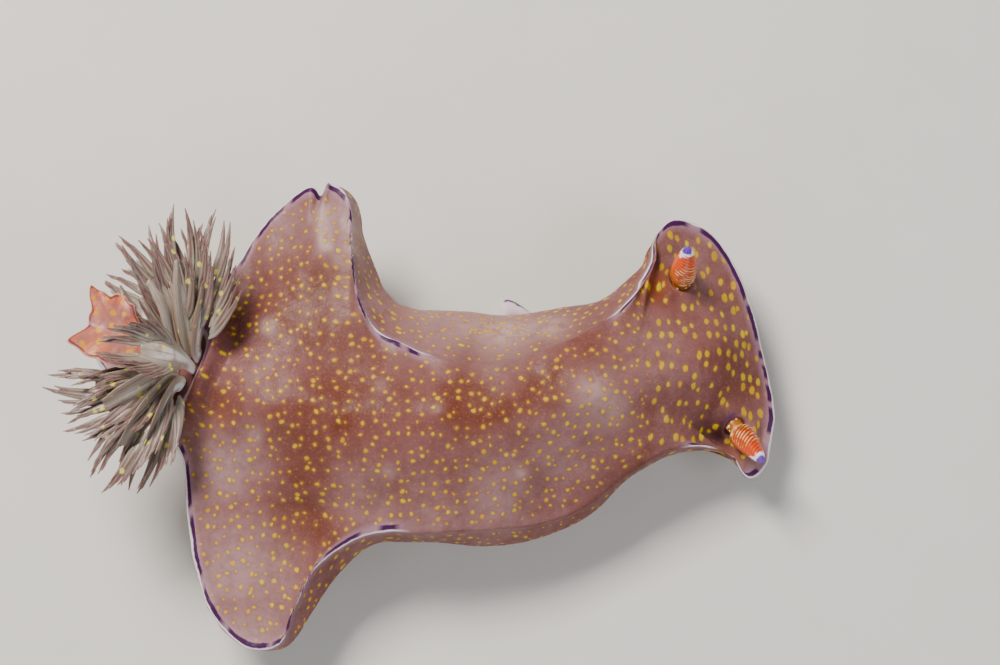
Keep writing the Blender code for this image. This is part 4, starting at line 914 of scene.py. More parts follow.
# %% Helpers for materials
MATH = "ShaderNodeMath"
VECTOR = "ShaderNodeVectorMath"
RANGE = "ShaderNodeMapRange"
MIX = "ShaderNodeMix"
MARK = "ShaderNodeAttribute"
NOISE = "ShaderNodeTexNoise"
CELLS = "ShaderNodeTexVoronoi"
COORDS = "ShaderNodeTexCoord"
BUMP = "ShaderNodeBump"
# Settings that a kind of node has here, unless a call says otherwise.
NODE_SETTINGS = {
    RANGE: {"interpolation_type": "SMOOTHSTEP"},
    MIX: {"data_type": "RGBA"},
    MARK: {"attribute_type": "GEOMETRY"},
}


def linear(code):
    """Linear colour of an sRGB hex value."""
    parts = [int(code[i:i + 2], 16) / 255.0 for i in (1, 3, 5)]
    return tuple(part / 12.92 if part <= 0.04045 else ((part + 0.055) / 1.055) ** 2.4
                 for part in parts) + (1.0,)


def add(tree, kind, inputs=(), out="", **settings):
    """Adds a node with its settings and links, and gives its first output or the one named.

    Inputs are a list in the node's own order or a dict by name. Each is a value, a colour
    code or another node's output.
    """
    node = tree.nodes.new(kind)
    for name, value in {**NODE_SETTINGS.get(kind, {}), **settings}.items():
        setattr(node, name, value)
    sockets = [socket for socket in node.inputs if socket.enabled]
    if isinstance(inputs, dict):
        sockets = [next(socket for socket in sockets if socket.name == name) for name in inputs]
        inputs = inputs.values()
    for socket, value in zip(sockets, inputs):
        if isinstance(value, bpy.types.NodeSocket):
            tree.links.new(value, socket)
        elif isinstance(value, str) and value.startswith("#"):
            socket.default_value = linear(value)
        else:
            socket.default_value = value
    return next((one for one in node.outputs if one.enabled and out in ("", one.name)), node)


print("mid grey in linear light:", linear("#808080")[0])

# %% [markdown]
# ## Layers of colour
#
# Each finish is layers of colour over a base. A layer has a colour and shares, and shows only
# where all its shares do. Laying them on in a loop keeps their order easy to read, where a
# tree drawn by hand soon hides it. Bands and wavering lines come back all over the animal.

# %% Layers of colour


def product(tree, *shares):
    """The product of shares, so that a layer shows only where all of them do.

    A share is a number or a socket. A tuple of a socket and two limits is a share that rises
    smoothly from 0 to 1 between them, and two more numbers take the place of 0 and 1.
    """
    total = None
    for share in shares:
        if isinstance(share, tuple):
            share = add(tree, RANGE, share)
        total = share if total is None else add(tree, MATH, [total, share], operation="MULTIPLY")
    return total


def paint(tree, base, layers):
    """Lays colours over a base, each as strong as the product of its shares."""
    for colour, *shares in layers:
        base = add(tree, MIX, [product(tree, *shares), base, colour])
    return base


def band(tree, value, low, high, soft):
    """One between low and high, and zero outside."""
    return product(tree, (value, low - soft, low + soft), (value, high - soft, high + soft, 1.0, 0.0))


def waver(tree, value, cloud, amount):
    """A value moved up and down by a noise, over this amount in all."""
    shift = add(tree, MATH, [cloud, 0.5], operation="SUBTRACT")
    return add(tree, MATH, [value, product(tree, shift, amount)], operation="ADD")


def new_finish(name):
    """A new material and its empty tree."""
    material = bpy.data.materials.new(name)
    material.use_nodes = True
    material.node_tree.nodes.clear()
    return material, material.node_tree


def close_finish(tree, sockets):
    """Ends a tree with a Principled shader that has these inputs."""
    shader = add(tree, "ShaderNodeBsdfPrincipled", sockets)
    add(tree, "ShaderNodeOutputMaterial", {"Surface": shader})


print("settings kept for", len(NODE_SETTINGS), "kinds of node")

# %% [markdown]
# ## Spots
#
# The yellow spots are round, 0.4 to 1 mm across, and lie unevenly but never on each other.
# They come from a cell pattern on the flat map: a threshold on the distance to each cell's
# point gives round spots of random size. An image would freeze them at one resolution.

# %% Spot pattern
SPOT_SPACING = 1.9
HEAD_SPOT_SPACING = 2.4
SPECK_SPACING = 1.2
HEAD_STRETCH = (1.2, 0.8, 1.0)


def spot_layer(tree, where, spacing, radii, soft, randomness, grow=0.0):
    """Round spots in cells about one spacing apart, as a share, and three random numbers."""
    near = add(tree, CELLS, {"Vector": where, "Scale": 1.0 / spacing, "Randomness": randomness},
               voronoi_dimensions="2D")
    parts = add(tree, "ShaderNodeSeparateColor", [near.node.outputs["Color"]]).node.outputs
    radius = add(tree, RANGE, [parts[0], 0.0, 1.0, radii[0] / spacing, radii[1] / spacing])
    radius = add(tree, MATH, [radius, product(tree, grow, 1.0 / spacing)], operation="ADD")
    over = add(tree, MATH, [radius, near], operation="SUBTRACT")
    return add(tree, RANGE, [over, -soft / spacing, soft / spacing]), parts


print("mm between spots:", SPOT_SPACING, HEAD_SPOT_SPACING)

# %% [markdown]
# ## Skin
#
# The real skin is a thin clear layer of mucus over pigment: mauve pink, clouded with red brown
# where muscle shows through, with opaque yellow spots and a pale margin with purple dashes.
# Light enters it and spreads, so it needs subsurface scattering and a soft wet gloss. A plain
# pink with spots on it would look like painted rubber, so the clouds come first, then the
# margin, the spots, and last the lines along the edges.

# %% Skin material


def skin_pigment(tree, at, coords, mottle, grain):
    """Clouds, patches and the pale margin, and how warm the skin is at each place."""
    # Clouds of red brown 8 to 12 mm wide, and a finer mottle under 2 mm.
    clouds = add(tree, NOISE, {"Vector": coords, "Scale": 95.0, "Detail": 3.0, "Roughness": 0.55,
                               "Distortion": 0.35})
    warm = add(tree, MATH, [at["warm"], add(tree, RANGE, [clouds, 0.42, 0.68, 0.0, 0.62])],
               operation="ADD", use_clamp=True)
    base = paint(tree, "#764c4b", [
        ("#5d3020", warm),
        ("#9b7c7d", at["lilac"], 0.95),
        ("#5c302c", (mottle, 0.35, 0.7, 0.0, 0.3)),
        ("#b58a84", (grain, 0.5, 0.75, 0.0, 0.1)),
        # Painted highlights on lumps, the crest and pleats, broken up by the mottle.
        ("#cfb3ae", at["pale"], (mottle, 0.3, 0.62, 0.35, 1.15), 0.8),
        # Painted shade on the flanks under the brim, weak on the lit left side.
        ("#6b2a22", at["flank"], 0.8),
        # Painted light on the lit left wall of the body.
        ("#aa8482", at["left_wall_light"], 0.6),
        # Painted shade in orange brown in the hollows by the rhinophores, and rust brown near the
        # gills.
        ("#783a16", at["rust_and_shade"], 0.9),
        ("#c9a9a8", at["sole"], 0.9),
        ("#35131a", at["shade"], 0.95),
        # Pale margin, 2 to 3 mm deep, that thins to white at the very edge.
        ("#a9869c", band(tree, at["rim_depth"], -0.8, 1.5, 1.1), at["edge_white"], 0.5),
    ])
    return base, warm


print("warm patches:", len(WARM_PATCHES))

# %% [markdown]
# ## Spots on the skin
#
# Two layers of spots meet at the neck: small ones close together on the back, and large long
# ones further apart on the head. Each spot lies in a ring of thin pigment, and fine specks
# fill the skin between them.

# %% Spots on the skin


def skin_spots(tree, at, coords, base, warm):
    """Yellow spots with a ring of thin pigment round each, and specks between them."""
    uneven = add(tree, NOISE, {"Vector": coords, "Scale": 900.0, "Detail": 1.0}, "Color")
    uneven = add(tree, VECTOR, [uneven, (0.5, 0.5, 0.5)], operation="SUBTRACT")
    plan = add(tree, "ShaderNodeUVMap", uv_map="skin_plan")
    where = add(tree, VECTOR, [uneven, (0.5, 0.5, 0.0), plan], operation="MULTIPLY_ADD")
    long_way = add(tree, VECTOR, [where, HEAD_STRETCH], operation="MULTIPLY")
    # Spots of the back shrink away on the head, where larger and longer ones take their place.
    body_only = add(tree, MATH, [add(tree, RANGE, [at["head"], 0.4, 0.8, 0.0, -0.6]),
                                 product(tree, at["left_wall_light"], 0.14)], operation="ADD")
    head_only = add(tree, MATH, [add(tree, RANGE, [at["head"], 0.25, 0.6, -0.7, 0.0]),
                                 product(tree, at["front"], 0.12)], operation="ADD")
    back = (tree, where, SPOT_SPACING)
    head = (tree, long_way, HEAD_SPOT_SPACING)
    back_spots, parts = spot_layer(*back, (0.17, 0.34), 0.15, 0.8, body_only)
    head_spots = spot_layer(*head, (0.3, 0.52), 0.15, 0.75, head_only)[0]
    back_rings = spot_layer(*back, (0.5, 0.6), 0.26, 0.8, body_only)[0]
    head_rings = spot_layer(*head, (0.6, 0.8), 0.3, 0.75, head_only)[0]
    specks = spot_layer(tree, where, SPECK_SPACING, (0.0, 0.17), 0.09, 1.0)[0]
    spots = add(tree, MATH, [back_spots, head_spots], operation="MAXIMUM")
    rings = add(tree, MATH, [back_rings, head_rings], operation="MAXIMUM")
    # No spots on the sole, at the very edge, or inside the pocket and the sheaths.
    from_edge = add(tree, MATH, [at["rim_depth"]], operation="ABSOLUTE")
    open_skin = product(tree, (parts[2], 0.0, 1.0, 0.72, 1.0),
                        add(tree, MATH, [1.0, at["sole"]], operation="SUBTRACT"),
                        (from_edge, 0.9, 1.7), (at["collar_reach"], 0.2, 1.0),
                        (at["sheath_reach"], 0.2, 0.8))
    yellow = paint(tree, "#c09600", [("#c6b400", parts[1]), ("#b47600", warm, 0.3)])
    spot_share = product(tree, spots, open_skin, 0.92)
    base = paint(tree, base, [
        ("#8d5a2a", rings, open_skin, 0.36),
        ("#a9765a", specks, open_skin, 0.25),
        (yellow, spot_share),
    ])
    return base, spot_share


print("stretch on the head:", HEAD_STRETCH)

# %% [markdown]
# ## Lines on the skin
#
# Lines lie on top of everything else. They are read from lengths along the skin, such as the
# depth from the edge, so they follow it round every fold, and a noise makes them waver.

# %% Lines on the skin


def skin_lines(tree, at, coords, base):
    """Lines and dashes along the edges of the mantle, the foot, the pocket and the sheaths."""
    wobble = add(tree, NOISE, {"Vector": coords, "Scale": 420.0, "Detail": 2.0})
    rim = waver(tree, at["rim_depth"], wobble, 0.7)
    foot = waver(tree, at["foot_depth"], wobble, 1.6)
    return paint(tree, base, [
        # A white line on the very edge, with the purple dashes just inside it.
        ("#e6dee2", band(tree, rim, -0.32, 0.18, 0.16), at["edge_white"], 0.85),
        ("#38103f", band(tree, rim, 0.2, 1.05, 0.14), at["rim_dash"], 0.97),
        # The foot's margin is pale, whiter on its ruffle, and has dashes too.
        ("#d8ccd4", band(tree, at["foot_depth"], -1.6, 1.2, 0.4), 0.7),
        ("#d5c8d6", at["ruffle"], band(tree, at["foot_depth"], -3.4, 3.0, 1.2), 0.8),
        ("#4a1d55", band(tree, foot, -1.4, -0.7, 0.2), at["foot_dash"], 0.92),
        # Round the pocket a purple line lies outside a pale one.
        ("#5a2a63", band(tree, at["collar_reach"], 0.25, 0.95, 0.2), at["collar_line"], 0.85),
        ("#c8b2b8", band(tree, at["collar_reach"], -0.25, 0.3, 0.25), 0.5),
        # A sheath has a pale rim, at one side a violet mark, and is orange inside.
        ("#a9786c", band(tree, at["sheath_reach"], -0.2, 0.5, 0.3), 0.3),
        ("#4a1a60", band(tree, at["sheath_reach"], -0.1, 0.8, 0.2), at["sheath_mark"], 0.9),
        ("#a04a24", (at["sheath_reach"], -0.7, -0.2, 1.0, 0.0), 0.8),
    ])


print("dashes on the edge:", len(DASHES))

# %% [markdown]
# ## Skin finish
#
# The layers come together here. Pores and fine wrinkles are bump, because they are too small
# to move in the mesh, and each spot stands up a little.

# %% Skin finish


def skin_material():
    """Wet skin: clouds of pigment, spots and lines under a thin layer of mucus."""
    material, tree = new_finish("wet_mantle_skin")
    at = {name: add(tree, MARK, out="Fac", attribute_name=name) for name in marks}
    coords = add(tree, COORDS, out="Object")
    mottle = add(tree, NOISE, {"Vector": coords, "Scale": 620.0, "Detail": 4.0, "Roughness": 0.6})
    grain = add(tree, NOISE, {"Vector": coords, "Scale": 2600.0, "Detail": 2.0, "Roughness": 0.5})
    base, warm = skin_pigment(tree, at, coords, mottle, grain)
    base, spot_share = skin_spots(tree, at, coords, base, warm)
    base = skin_lines(tree, at, coords, base)
    relief = product(tree, mottle, 0.5)
    for part in (product(tree, grain, 0.14), product(tree, spot_share, 0.22)):
        relief = add(tree, MATH, [relief, part], operation="ADD")
    bump = add(tree, BUMP, {"Height": relief, "Strength": 0.5, "Distance": 0.0004})
    # Mucus gives a soft gloss, a little rougher where the skin is wrinkled.
    close_finish(tree, {
        "Base Color": base,
        "Roughness": add(tree, RANGE, [mottle, 0.3, 0.75, 0.34, 0.5]),
        "Normal": bump,
        "IOR": 1.36,
        "Specular IOR Level": 0.13,
        "Subsurface Weight": 0.12,
        "Subsurface Radius": (1.0, 0.38, 0.3),
        "Subsurface Scale": 0.0008,
        "Coat Weight": 0.035,
        "Coat Roughness": 0.2,
        "Coat Normal": bump,
    })
    return material


skin_finish = skin_material()
print("skin finish:", len(skin_finish.node_tree.nodes), "nodes")

# %% [markdown]
# ## Tools for pieces
#
# Every piece is made from plain lists of points and faces, with its place in its mesh and its
# object at the origin, so that patterns read on it stay put. A closed piece has to face
# outward, which the sign of its volume tells.

# %% Tools for pieces


def new_object(name, data):
    """An object with this data, linked to the scene."""
    item = bpy.data.objects.new(name, data)
    bpy.context.scene.collection.objects.link(item)
    return item


def mesh_piece(name, verts, faces, material, numbers=None):
    """An object at the origin from millimetre points, with numbers stored at its vertices."""
    mesh = bpy.data.meshes.new(name)
    mesh.from_pydata([tuple(p) for p in np.asarray(verts) * MM], [], faces)
    mesh.materials.append(material)
    for key, values in (numbers or {}).items():
        layer = mesh.attributes.new(key, "FLOAT", "POINT")
        layer.data.foreach_set("value", np.asarray(values, np.float32))
    mesh.update()
    mesh.shade_smooth()
    return new_object(name, mesh)


def read(items, key, width=1, kind=np.int32):
    """Numbers that a mesh keeps for its items, in rows of this width."""
    found = np.empty(len(items) * width, kind)
    items.foreach_get(key, found)
    return found.reshape(-1, width)


def face_out(item):
    """Turns the faces of a closed piece outward."""
    mesh = item.data
    mesh.calc_loop_triangles()
    verts = read(mesh.vertices, "co", 3, float)
    corners = read(mesh.loop_triangles, "vertices", 3)
    one, two, three = (verts[corners[:, i]] for i in range(3))
    volume = float(np.einsum("ij,ij->i", one, np.cross(two, three)).sum() / 6.0)
    if volume < 0.0:
        mesh.flip_normals()
    return abs(volume) / MM ** 3


def store_map(item, name, spots):
    """A flat map from one place for each vertex."""
    corners = read(item.data.loops, "vertex_index")
    layer = item.data.uv_layers.new(name=name)
    layer.uv.foreach_set("vector", np.asarray(spots, np.float32)[corners].reshape(-1))


def store_grid_map(item, name, faces, across):
    """A map with one place for every rib and column, cut open along the last rib."""
    corners = read(item.data.loops, "vertex_index").reshape(-1, 4)
    number = np.arange(len(faces))
    rib, column = number // (COLUMNS - 1), number % (COLUMNS - 1)
    places = np.zeros(corners.shape + (2,), np.float32)
    for k, (one, two) in enumerate(((0, 0), (0, 1), (1, 1), (1, 0))):
        found = corners == np.array(faces)[:, k, None]
        spot = np.stack([(rib + one) / RIBS, across[column + two]], axis=1)
        places = np.where(found[..., None], spot[:, None, :], places)
    layer = item.data.uv_layers.new(name=name)
    layer.uv.foreach_set("vector", places.astype(np.float32).reshape(-1))


print("vertices of the skin:", len(points))

# %% [markdown]
# ## The skin as a piece
#
# The net becomes one closed mesh that stands for all the flesh, so no seam shows where the
# solids are parted. Its marks go on as numbers at the vertices. It gets two maps: the flat
# one that the spots read, and a plain grid of ribs and columns in which no two faces overlap,
# for whoever bakes the finish to a picture.

# %% Skin piece
skin = mesh_piece("skin", points, faces, skin_finish, marks)
volume = face_out(skin)
map_spots = net_values(plan_map)
store_map(skin, "skin_plan", map_spots)
column_step = np.linalg.norm(np.diff(net, axis=1), axis=2).mean(axis=0)
column_place = np.concatenate([[0.0], np.cumsum(column_step)])
store_grid_map(skin, "OFBake", faces, column_place / column_place[-1])
skin.data.uv_layers.active = skin.data.uv_layers["OFBake"]
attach(skin, "root")
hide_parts("head", "trunk_front", "trunk_rear", "lobe_left", "lobe_right", "foot", "tail")
print("skin:", len(skin.data.polygons), "faces,", round(volume), "mm3")

# %% [markdown]
# ## Surfaces round a line
#
# Horn, feelers, rhinophores and the shafts of the gills are all rings of points set one after
# another. One function closes such rings to a surface, and one sets rings along a line. A
# curve object with a bevel would do for round tubes, but not for flat straps or leaves.

# %% Rings and lofts


def loft(rings):
    """Points and faces of a closed surface through rings, capped at both ends."""
    rows, sides = rings.shape[:2]
    verts = np.concatenate([rings.reshape(-1, 3), rings[:1].mean(1), rings[-1:].mean(1)])
    faces = []
    for i in range(rows - 1):
        low, high = i * sides, (i + 1) * sides
        for j in range(sides):
            after = (j + 1) % sides
            faces.append((low + j, low + after, high + after, high + j))
    first, last = rows * sides, rows * sides + 1
    for j in range(sides):
        after = (j + 1) % sides
        faces.append((first, after, j))
        faces.append((last, (rows - 1) * sides + j, (rows - 1) * sides + after))
    return verts, faces


def row_values(values, sides):
    """One value for each row of a loft, in the order of its vertices."""
    return np.concatenate([np.repeat(values, sides), [values[0], values[-1]]])


def line_frames(points):
    """Two side directions at each point of a line, turned as little as can be."""
    frames = []
    side = None
    for i, point in enumerate(points):
        ahead = (points[min(i + 1, len(points) - 1)] - points[max(i - 1, 0)]).normalized()
        if side is None:
            side = ahead.cross(Vector((0.0, 0.0, 1.0)))
            if side.length < 0.2:
                side = ahead.cross(Vector((1.0, 0.0, 0.0)))
        side = (side - ahead * side.dot(ahead)).normalized()
        frames.append((side, ahead.cross(side)))
    return frames


def rings_along(points, widths, heights, sides):
    """Rings along a line, with a half width and a half height at each point."""
    turns = [math.tau * i / sides for i in range(sides)]
    rings = []
    for point, (side, up), width, height in zip(points, line_frames(points), widths, heights):
        rings.append([tuple(point + side * width * math.cos(turn) + up * height * math.sin(turn))
                      for turn in turns])
    return np.array(rings)


def bend(points, count):
    """Evenly placed points on a smooth curve through a few points."""
    return [curve_point(points, i * (len(points) - 1) / (count - 1)) for i in range(count)]


def bend_sizes(sizes, count):
    """Evenly placed sizes on a smooth curve through a few sizes."""
    spots = [Vector((size, i * 0.3, 0.0)) for i, size in enumerate(sizes)]
    return [point.x for point in bend(spots, count)]


print("faces of a small loft:", len(loft(np.zeros((2, 4, 3)))[1]))

# %% [markdown]
# ## Feelers
#
# Two short cone-like feelers beside the mouth touch the ground ahead. They are of the same
# skin, and start inside the snout so that no join shows.

# %% Feelers
# Up the middle of one feeler: along, out, height and radius.
FEELER_SECTIONS = [(43.5, 4.2, 6.4, 2.3), (46.4, 5.2, 6.2, 1.9), (48.0, 5.8, 6.0, 1.35),
                   (50.0, 6.6, 5.9, 1.1), (51.0, 7.0, 6.0, 0.35)]
FEELER_ROWS = 70
FEELER_SIDES = 36


def feeler(side):
    """One feeler, on the left where side is 1 and on the right where it is -1."""
    middles = [place(along, out * side, height) for along, out, height, radius in FEELER_SECTIONS]
    line = bend(middles, FEELER_ROWS)
    radii = bend_sizes([row[3] for row in FEELER_SECTIONS], FEELER_ROWS)
    wrinkle = [radius * (1.0 + 0.03 * math.sin(i * 0.9)) for i, radius in enumerate(radii)]
    verts, faces = loft(rings_along(line, wrinkle, wrinkle, FEELER_SIDES))
    count = len(verts)
    numbers = {name: np.zeros(count) for name in marks}
    for key in ("rim_depth", "foot_depth", "collar_reach", "sheath_reach"):
        numbers[key] = np.full(count, FAR)
    # The feelers get part of the flanks' painted shade.
    numbers["flank"] = np.full(count, 0.45)
    numbers["head"] = np.ones(count)
    word = "left" if side > 0 else "right"
    item = mesh_piece("feeler_" + word, verts, faces, skin_finish, numbers)
    face_out(item)
    store_map(item, "skin_plan", verts[:, :2])
    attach(item, "root")
    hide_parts("oral_tentacle_" + word)
    return item


feelers = [feeler(side) for side in (1.0, -1.0)]
print("feelers:", [len(item.data.polygons) for item in feelers])

# %% [markdown]
# ## Rhinophores
#
# A rhinophore smells the water. It is a short stalk under a club of thin slanting leaves, which
# meet at a plain ridge in front. The leaves are a ripple on one turned surface, because that
# keeps the club whole. Its colours climb from orange brown over orange red to a white band and
# a violet tip.

# %% Rhinophore material


def rhinophore_material():
    material, tree = new_finish("rhinophore_tissue_wet")
    at = {name: add(tree, MARK, out="Fac", attribute_name=name)
          for name in ("up", "leaf", "inner", "ridge")}
    coords = add(tree, COORDS, out="Object")
    mottle = add(tree, NOISE, {"Vector": coords, "Scale": 900.0, "Detail": 3.0})
    dots = add(tree, CELLS, {"Vector": coords, "Scale": 1250.0})
    uneven = waver(tree, at["up"], mottle, 0.12)
    # The white runs further down on the plain ridge.
    reach = add(tree, MATH, [uneven, product(tree, at["ridge"], 0.1)], operation="ADD")
    base = paint(tree, "#9c5a0c", [
        ("#c04a00", (uneven, 0.14, 0.5)),
        ("#d04600", (uneven, 0.5, 0.74)),
        # Painted shade in the grooves between the leaves.
        ("#6e1a02", (at["leaf"], 0.5, 0.0), 0.75),
        # Cream glints run along the leaves' edges on the inner side.
        ("#f2cf94", (at["leaf"], 0.78, 0.97), (at["inner"], 0.1, 0.6),
         band(tree, uneven, 0.2, 0.66, 0.06), (mottle, 0.42, 0.56), 0.75),
        ("#f0e4dc", (dots, 0.34, 0.2), (uneven, 0.3, 0.2)),
        ("#f1e6ea", (reach, 0.84, 0.88)),
        ("#5b2fa0", (uneven, 0.9, 0.94)),
    ])
    # Wet soft tissue: light goes in and comes out red, so the leaves glow at their edges.
    close_finish(tree, {
        "Base Color": base,
        "Roughness": 0.34,
        "Normal": add(tree, BUMP, {"Height": mottle, "Strength": 0.35, "Distance": 0.0002}),
        "Subsurface Weight": 0.12,
        "Subsurface Radius": (1.0, 0.3, 0.1),
        "Subsurface Scale": 0.0005,
    })
    return material


rhinophore_finish = rhinophore_material()
print("rhinophore finish:", len(rhinophore_finish.node_tree.nodes), "nodes")

# %% [markdown]
# ## A rhinophore's form
#
# The club is turned like a chess piece: one radius for each height. The leaves are then cut
# into it as a slanting ripple that fades at the ridge in front, and the skin between them sags
# a little. Separate leaves on a core would be truer still, but under 0.3 mm they would only
# show as this ripple does.

# %% Rhinophores
STALK_RADIUS = 1.35
CLUB_RADIUS = 2.1
TIP_RADIUS = 0.52
CLUB_START = 2.1
LEAVES = 12
LEAF_DEPTH = 0.24
LEAF_SLANT = 0.42
LEAF_SAG = 0.12
CLUB_ROWS = 240
CLUB_SIDES = 64
RIDGE_WIDTH = 0.34


def rhinophore(name):
    """A stalk and a club of leaves, which stand in the sheath of that name."""
    foot, lean, length = sheaths[name]
    low = SHEATH_HEIGHT - SHEATH_DEPTH - 0.3
    ahead = axis_frame(43.0)[1].to_3d()
    front = (ahead - lean * ahead.dot(lean)).normalized()
    side = lean.cross(front)
    share = np.linspace(0.0, 1.0, CLUB_ROWS)
    up = low + (length - low) * share
    club = np.clip((up - CLUB_START) / (length - CLUB_START), 0.0, 1.0)
    radius = STALK_RADIUS + 0.25 * bell(up - low, 0.7)
    body = CLUB_RADIUS * np.cos(0.5 * math.pi * (0.06 + 0.86 * club ** 2.0))
    radius = radius + (body - radius) * smooth_step(CLUB_START - 0.5, CLUB_START + 0.25, up)
    below_tip = np.sqrt(np.maximum((length - up) / (TIP_RADIUS * 1.6), 0.0))
    radius = np.minimum(radius, TIP_RADIUS * 1.5 * below_tip)
    turn = math.tau * np.arange(CLUB_SIDES) / CLUB_SIDES
    slant = LEAF_SLANT * radius[:, None] * np.cos(turn)[None, :]
    phase = (up[:, None] + slant - CLUB_START) / (length * 0.9 - CLUB_START) * LEAVES
    groove = (0.5 + 0.5 * np.cos(math.tau * phase)) ** 1.6
    groove *= smooth_step(0.0, 0.6, phase) * smooth_step(LEAVES + 0.5, LEAVES - 1.0, phase)
    past_front = np.abs((turn + math.pi) % (math.tau) - math.pi)
    past_rear = math.pi - past_front
    plain = np.maximum(bell(past_front, RIDGE_WIDTH), 0.8 * bell(past_rear, RIDGE_WIDTH))
    groove *= 1.0 - 0.9 * plain[None, :]
    wide = radius[:, None] * (1.0 - LEAF_DEPTH * groove)
    sag = -LEAF_SAG * radius[:, None] * (1.0 - groove) * smooth_step(0.0, 0.1, club)[:, None]
    sag = sag * (1.0 - plain)[None, :]
    level = wide[..., None] * (np.cos(turn)[None, :, None] * np.array(front)
                               + np.sin(turn)[None, :, None] * np.array(side))
    rings = np.array(foot) + level + (up[:, None] + sag)[..., None] * np.array(lean)
    verts, faces = loft(rings)
    inner = np.clip(-np.sin(turn) if name.endswith("left") else np.sin(turn), 0.0, 1.0)
    numbers = {
        "up": row_values(share, CLUB_SIDES),
        "leaf": np.concatenate([(1.0 - groove).reshape(-1), [1.0, 1.0]]),
        "inner": np.concatenate([np.tile(inner, CLUB_ROWS), [0.0, 0.0]]),
        "ridge": np.concatenate([np.tile(plain, CLUB_ROWS), [0.0, 0.0]]),
    }
    item = mesh_piece(name + "_live", verts, faces, rhinophore_finish, numbers)
    face_out(item)
    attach(item, "root")
    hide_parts(name)
    return item


rhinophores = [rhinophore(name) for name in RHINOPHORES]
print("rhinophores:", [len(item.data.polygons) for item in rhinophores])

# %% [markdown]
# ## Horn
#
# Behind the gills the mantle grows a horn: a thick stalk that spreads to a level sheet with
# three points. In life it draws bites away from the gills. It is one surface from the stalk
# over the rim to the middle of the sheet, so that no part of it looks set on.

# %% Horn material
HORN_SPOT_SPACING = 2.1 * MM


def horn_material():
    material, tree = new_finish("horn_skin_wet")
    rim, up = [add(tree, MARK, out="Fac", attribute_name=name) for name in ("rim_depth", "up")]
    coords = add(tree, COORDS, out="Object")
    clouds = add(tree, NOISE, {"Vector": coords, "Scale": 260.0, "Detail": 3.0})
    mottle = add(tree, NOISE, {"Vector": coords, "Scale": 900.0, "Detail": 4.0})
    spots = spot_layer(tree, coords, HORN_SPOT_SPACING, (0.32 * MM, 0.56 * MM), 0.14 * MM, 0.75)[0]
    uneven = waver(tree, rim, mottle, 0.5)
    base = paint(tree, "#c4683c", [
        ("#a05c54", (clouds, 0.38, 0.66)),
        ("#dba48e", (mottle, 0.45, 0.75, 0.0, 0.45)),
        ("#a06c6c", (rim, 1.4, 3.4, 0.0, 0.4)),
        ("#642e24", (up, 0.5, 0.05)),
        ("#cf9408", spots, (rim, 0.4, 0.9), (up, 0.5, 0.7)),
        ("#e0c0b0", (uneven, 0.4, 0.15, 0.0, 0.8)),
        ("#6e1a30", band(tree, uneven, 0.42, 0.72, 0.1), (clouds, 0.38, 0.44), 0.9),
    ])
    # The same wet skin as the back, but thin, so more light comes through it.
    close_finish(tree, {
        "Base Color": base,
        "Roughness": 0.4,
        "Normal": add(tree, BUMP, {"Height": mottle, "Strength": 0.4, "Distance": 0.0003}),
        "Subsurface Weight": 0.3,
        "Subsurface Radius": (1.0, 0.42, 0.3),
        "Subsurface Scale": 0.0012,
    })
    return material


horn_finish = horn_material()
print("horn finish:", len(horn_finish.node_tree.nodes), "nodes")

# %% [markdown]
# ## The horn's form
#
# Rows of points climb the stalk, spread under the sheet, turn over its rim and come back over
# the top. Every row has the same star of directions, so the three points of the sheet already
# lie in the stalk as soft ribs. A smooth curve through the rows fills in the rest.

# %% Horn
# Up the stalk: along, out, height, half width across and half thickness along.
HORN_STALK = [
    (-45.6, -1.4, 6.0, 5.6, 3.3), (-47.4, -1.4, 10.2, 5.2, 3.2), (-50.4, -1.4, 14.6, 4.3, 3.0),
    (-52.2, -1.4, 19.0, 3.4, 2.4), (-53.3, -1.3, 24.6, 3.0, 1.9), (-54.3, -1.1, 28.4, 3.3, 2.2),
]
HORN_MIDDLE = (-55.2, -0.5, 31.6)
# The sheet's outline: direction in degrees and reach from the middle.
HORN_STAR = [(-50.0, 6.4), (-25.0, 4.9), (-8.0, 4.6), (26.0, 3.9), (60.0, 4.9), (84.0, 5.9),
             (103.0, 5.8), (119.0, 8.1), (136.0, 5.4), (174.0, 4.5), (197.0, 7.3), (233.0, 5.6),
             (268.0, 5.6)]
HORN_RISE = 0.24
HORN_CUP = 0.7
HORN_CUP_REACH = 7.0
HORN_WAVE = 0.35
HORN_BUMPS = 0.16
HORN_THICKNESS = 2.0
HORN_RIM_THICKNESS = 0.55
# Rows of the sheet from the stalk out to the rim and back over the top: share and side.
HORN_ROWS = [(0.6, -1.0), (0.82, -1.0), (0.965, -1.0), (1.0, 0.0), (0.965, 1.0), (0.85, 1.0),
             (0.65, 1.0), (0.4, 1.0), (0.18, 1.0)]
HORN_SIDES = 150
HORN_FILL = [6, 6, 6, 6, 5, 5, 5, 5, 3, 3, 5, 6, 7, 6]


def horn_row(middle, outline, share, side):
    """One row of the sheet, under it, on its rim or over it."""
    row = []
    thick = HORN_RIM_THICKNESS + (HORN_THICKNESS - HORN_RIM_THICKNESS) * (1.0 - share ** 2)
    for i, corner in enumerate(outline):
        run = i / HORN_SIDES * math.tau
        frill = 1.0 + 0.025 * math.sin(run * 11.0) + 0.02 * math.sin(run * 17.0 + 1.0)
        offset = corner * share * frill
        spot = middle + offset
        spot.z += -HORN_RISE * offset.x + HORN_CUP * (offset.length / HORN_CUP_REACH) ** 2
        spot.z += HORN_WAVE * share ** 3 * math.sin(run * 7.0 + 0.6) + 0.5 * thick * side
        row.append(tuple(spot))
    return row


